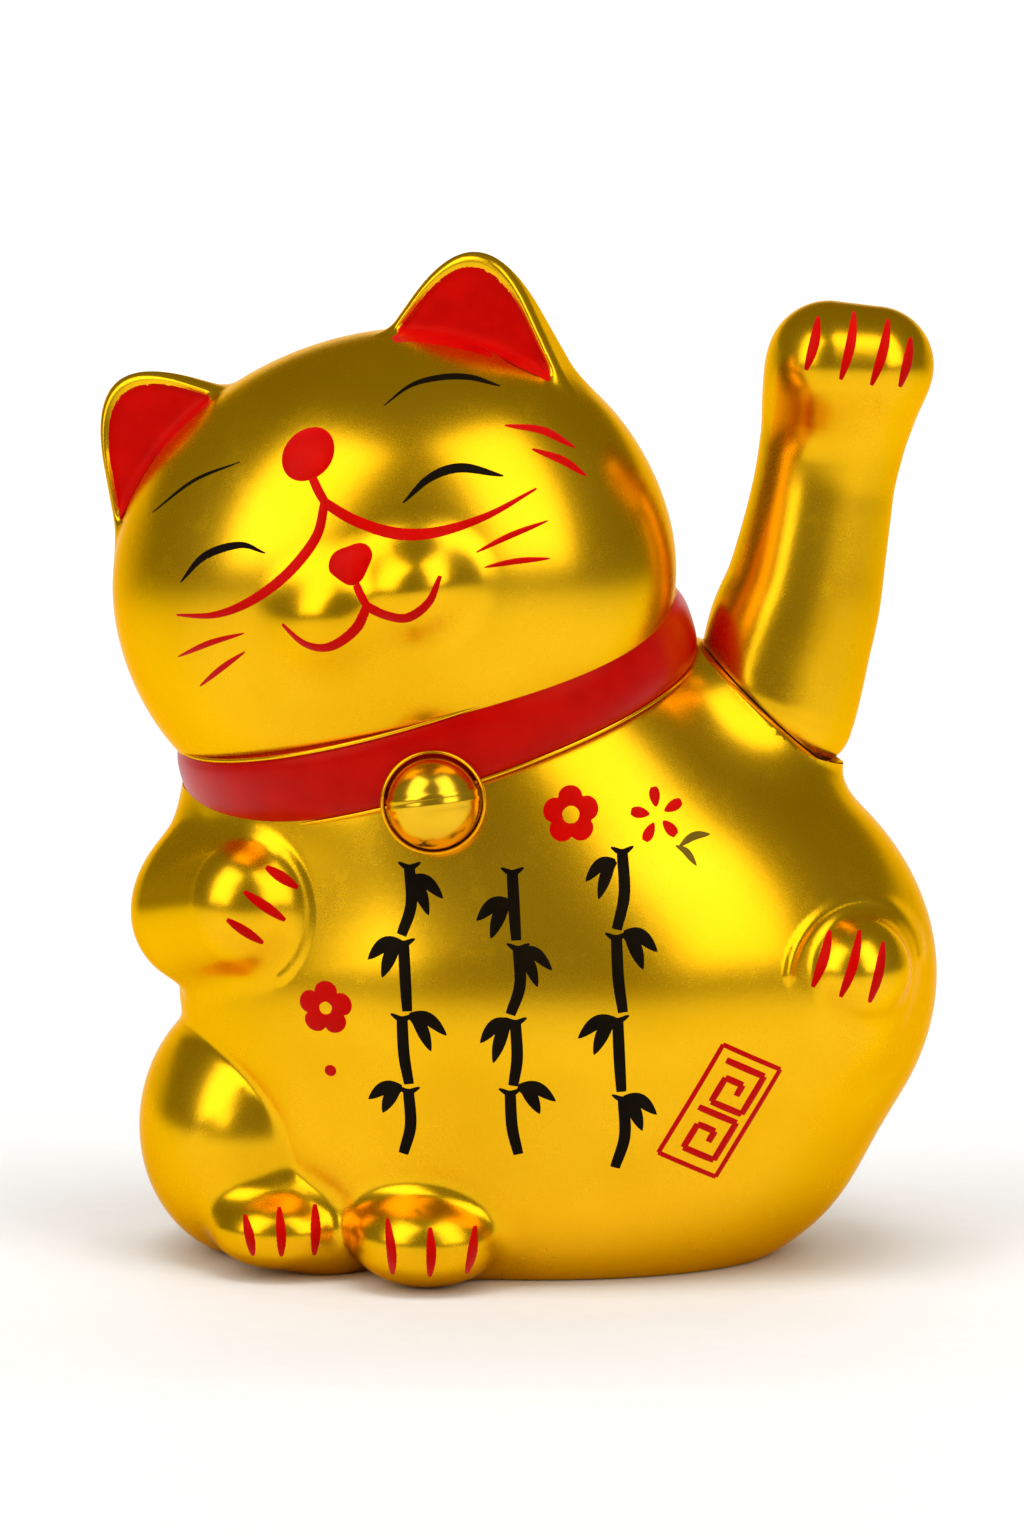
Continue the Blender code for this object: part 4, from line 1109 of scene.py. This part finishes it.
def make_stage():
    bm = bmesh.new()
    rows = [[bm.verts.new((across, y, z)) for across in (-4.0, 4.0)] for y, z in sweep_profile()]
    for (a, b), (c, d) in zip(rows, rows[1:]):
        bm.faces.new((a, b, d, c))
    mesh = bpy.data.meshes.new("floor")
    bm.to_mesh(mesh)
    bm.free()
    bare_piece("floor", mesh, pale_floor())
    world = bpy.data.worlds.new("studio")
    world.use_nodes = True
    background = world.node_tree.nodes["Background"]
    background.inputs["Color"].default_value = (1.0, 0.98, 0.95, 1)
    background.inputs["Strength"].default_value = 0.22
    bpy.context.scene.world = world
    soft_light("left_box", (-1.4, -1.05, 1.4), (1.5, 2.3), 23)
    soft_light("right_box", (1.2, -1.2, 1.5), (1.4, 2.6), 23)
    soft_light("wall_wash", (0.0, 0.9, 1.9), (2.6, 0.4), 34, aim=(0, 2.1, 0.3))
    soft_light("floor_wash", (0.0, -0.6, 2.6), (1.6, 1.0), 30, aim=(0, 0.1, 0.0))
    for name in ("wall_wash", "floor_wash"):
        bpy.context.scene.objects[name].visible_glossy = False
    bpy.context.scene.view_settings.view_transform = "Standard"


# ---- putting it together --------------------------------------------------------------

make_camera()
make_stage()
GOLD = metallised_gold("gold_shell_finish", (0.82, 0.43, 0.003), (0.92, 0.51, 0.009), 0.26)
BRIGHT = metallised_gold("gold_bell_finish", (0.80, 0.45, 0.012), (0.90, 0.54, 0.025), 0.22)
RED = lacquer("red_lacquer", (0.44, 0.0, 0.0), (0.52, 0.001, 0.0), 0.3, 0.0, 0.4,
              (1.0, 0.16, 0.08))
RED_PAINT = lacquer("red_paint", (0.46, 0.0, 0.0), (0.56, 0.001, 0.0), 0.36, 0.0, 0.3,
                    (1.0, 0.12, 0.06))
BLACK_PAINT = lacquer("black_paint", (0.004, 0.002, 0.0), (0.007, 0.004, 0.001), 0.5, 0.0, 0.04)
OLIVE_PAINT = lacquer("olive_paint", (0.11, 0.07, 0.003), (0.16, 0.1, 0.005), 0.5, 0.0, 0.05)
GREY = moulded("grey_abs", (0.27, 0.265, 0.255), (0.36, 0.35, 0.335), 0.45)
INNER = {"grey_plastic": GREY,
         "black_plastic": moulded("black_abs", (0.014, 0.014, 0.015), (0.028, 0.027, 0.027), 0.4),
         "rubber": moulded("pad_rubber", (0.018, 0.018, 0.018), (0.035, 0.034, 0.033), 0.7, 0.6),
         "white_nylon": moulded("natural_nylon", (0.66, 0.64, 0.58), (0.78, 0.76, 0.70), 0.4),
         "magnet": drawn_metal("magnet_plating", (0.28, 0.28, 0.29), (0.42, 0.42, 0.43), 0.25,
                                (1, 1, 1)),
         "copper_wire": drawn_metal("copper_winding", (0.55, 0.2, 0.07), (0.78, 0.36, 0.15), 0.25,
                                    (0.1, 0.1, 4)),
         "board_green": lacquer("solder_mask", (0.012, 0.13, 0.045), (0.02, 0.19, 0.07), 0.3, 0.3, 0.5),
         "cell_wrap": lacquer("cell_film", (0.03, 0.08, 0.24), (0.05, 0.13, 0.34), 0.25, 0.3, 0.5),
         "lead_red": moulded("lead_insulation", (0.4, 0.01, 0.01), (0.55, 0.02, 0.02), 0.4),
         "steel": drawn_metal("plated_steel", (0.42, 0.41, 0.40), (0.62, 0.61, 0.60), 0.22,
                               (1, 1, 0.1)),
         "gold_shell": GOLD, "gold_bell": BRIGHT, "collar_red": RED}
for node in frame["nodes"].values():
    for slot in node.material_slots:
        slot.material = INNER[slot.material.name.split(".")[0]]

body_tree = make_body(GOLD)
head_tree = make_head(GOLD)
arm_tree = make_arm(GOLD)
make_underside(GOLD)
make_collar(RED, GOLD)
make_bell(GOLD, BRIGHT)
make_winding(INNER["copper_wire"])
face = Canvas(head_tree, HEAD, HEAD_AXES)
make_face(face, RED_PAINT, BLACK_PAINT)
make_ears(face, RED_PAINT)
make_belly_marks(Canvas(body_tree), RED_PAINT, BLACK_PAINT, OLIVE_PAINT)
make_claws(body_tree, arm_tree, RED_PAINT)
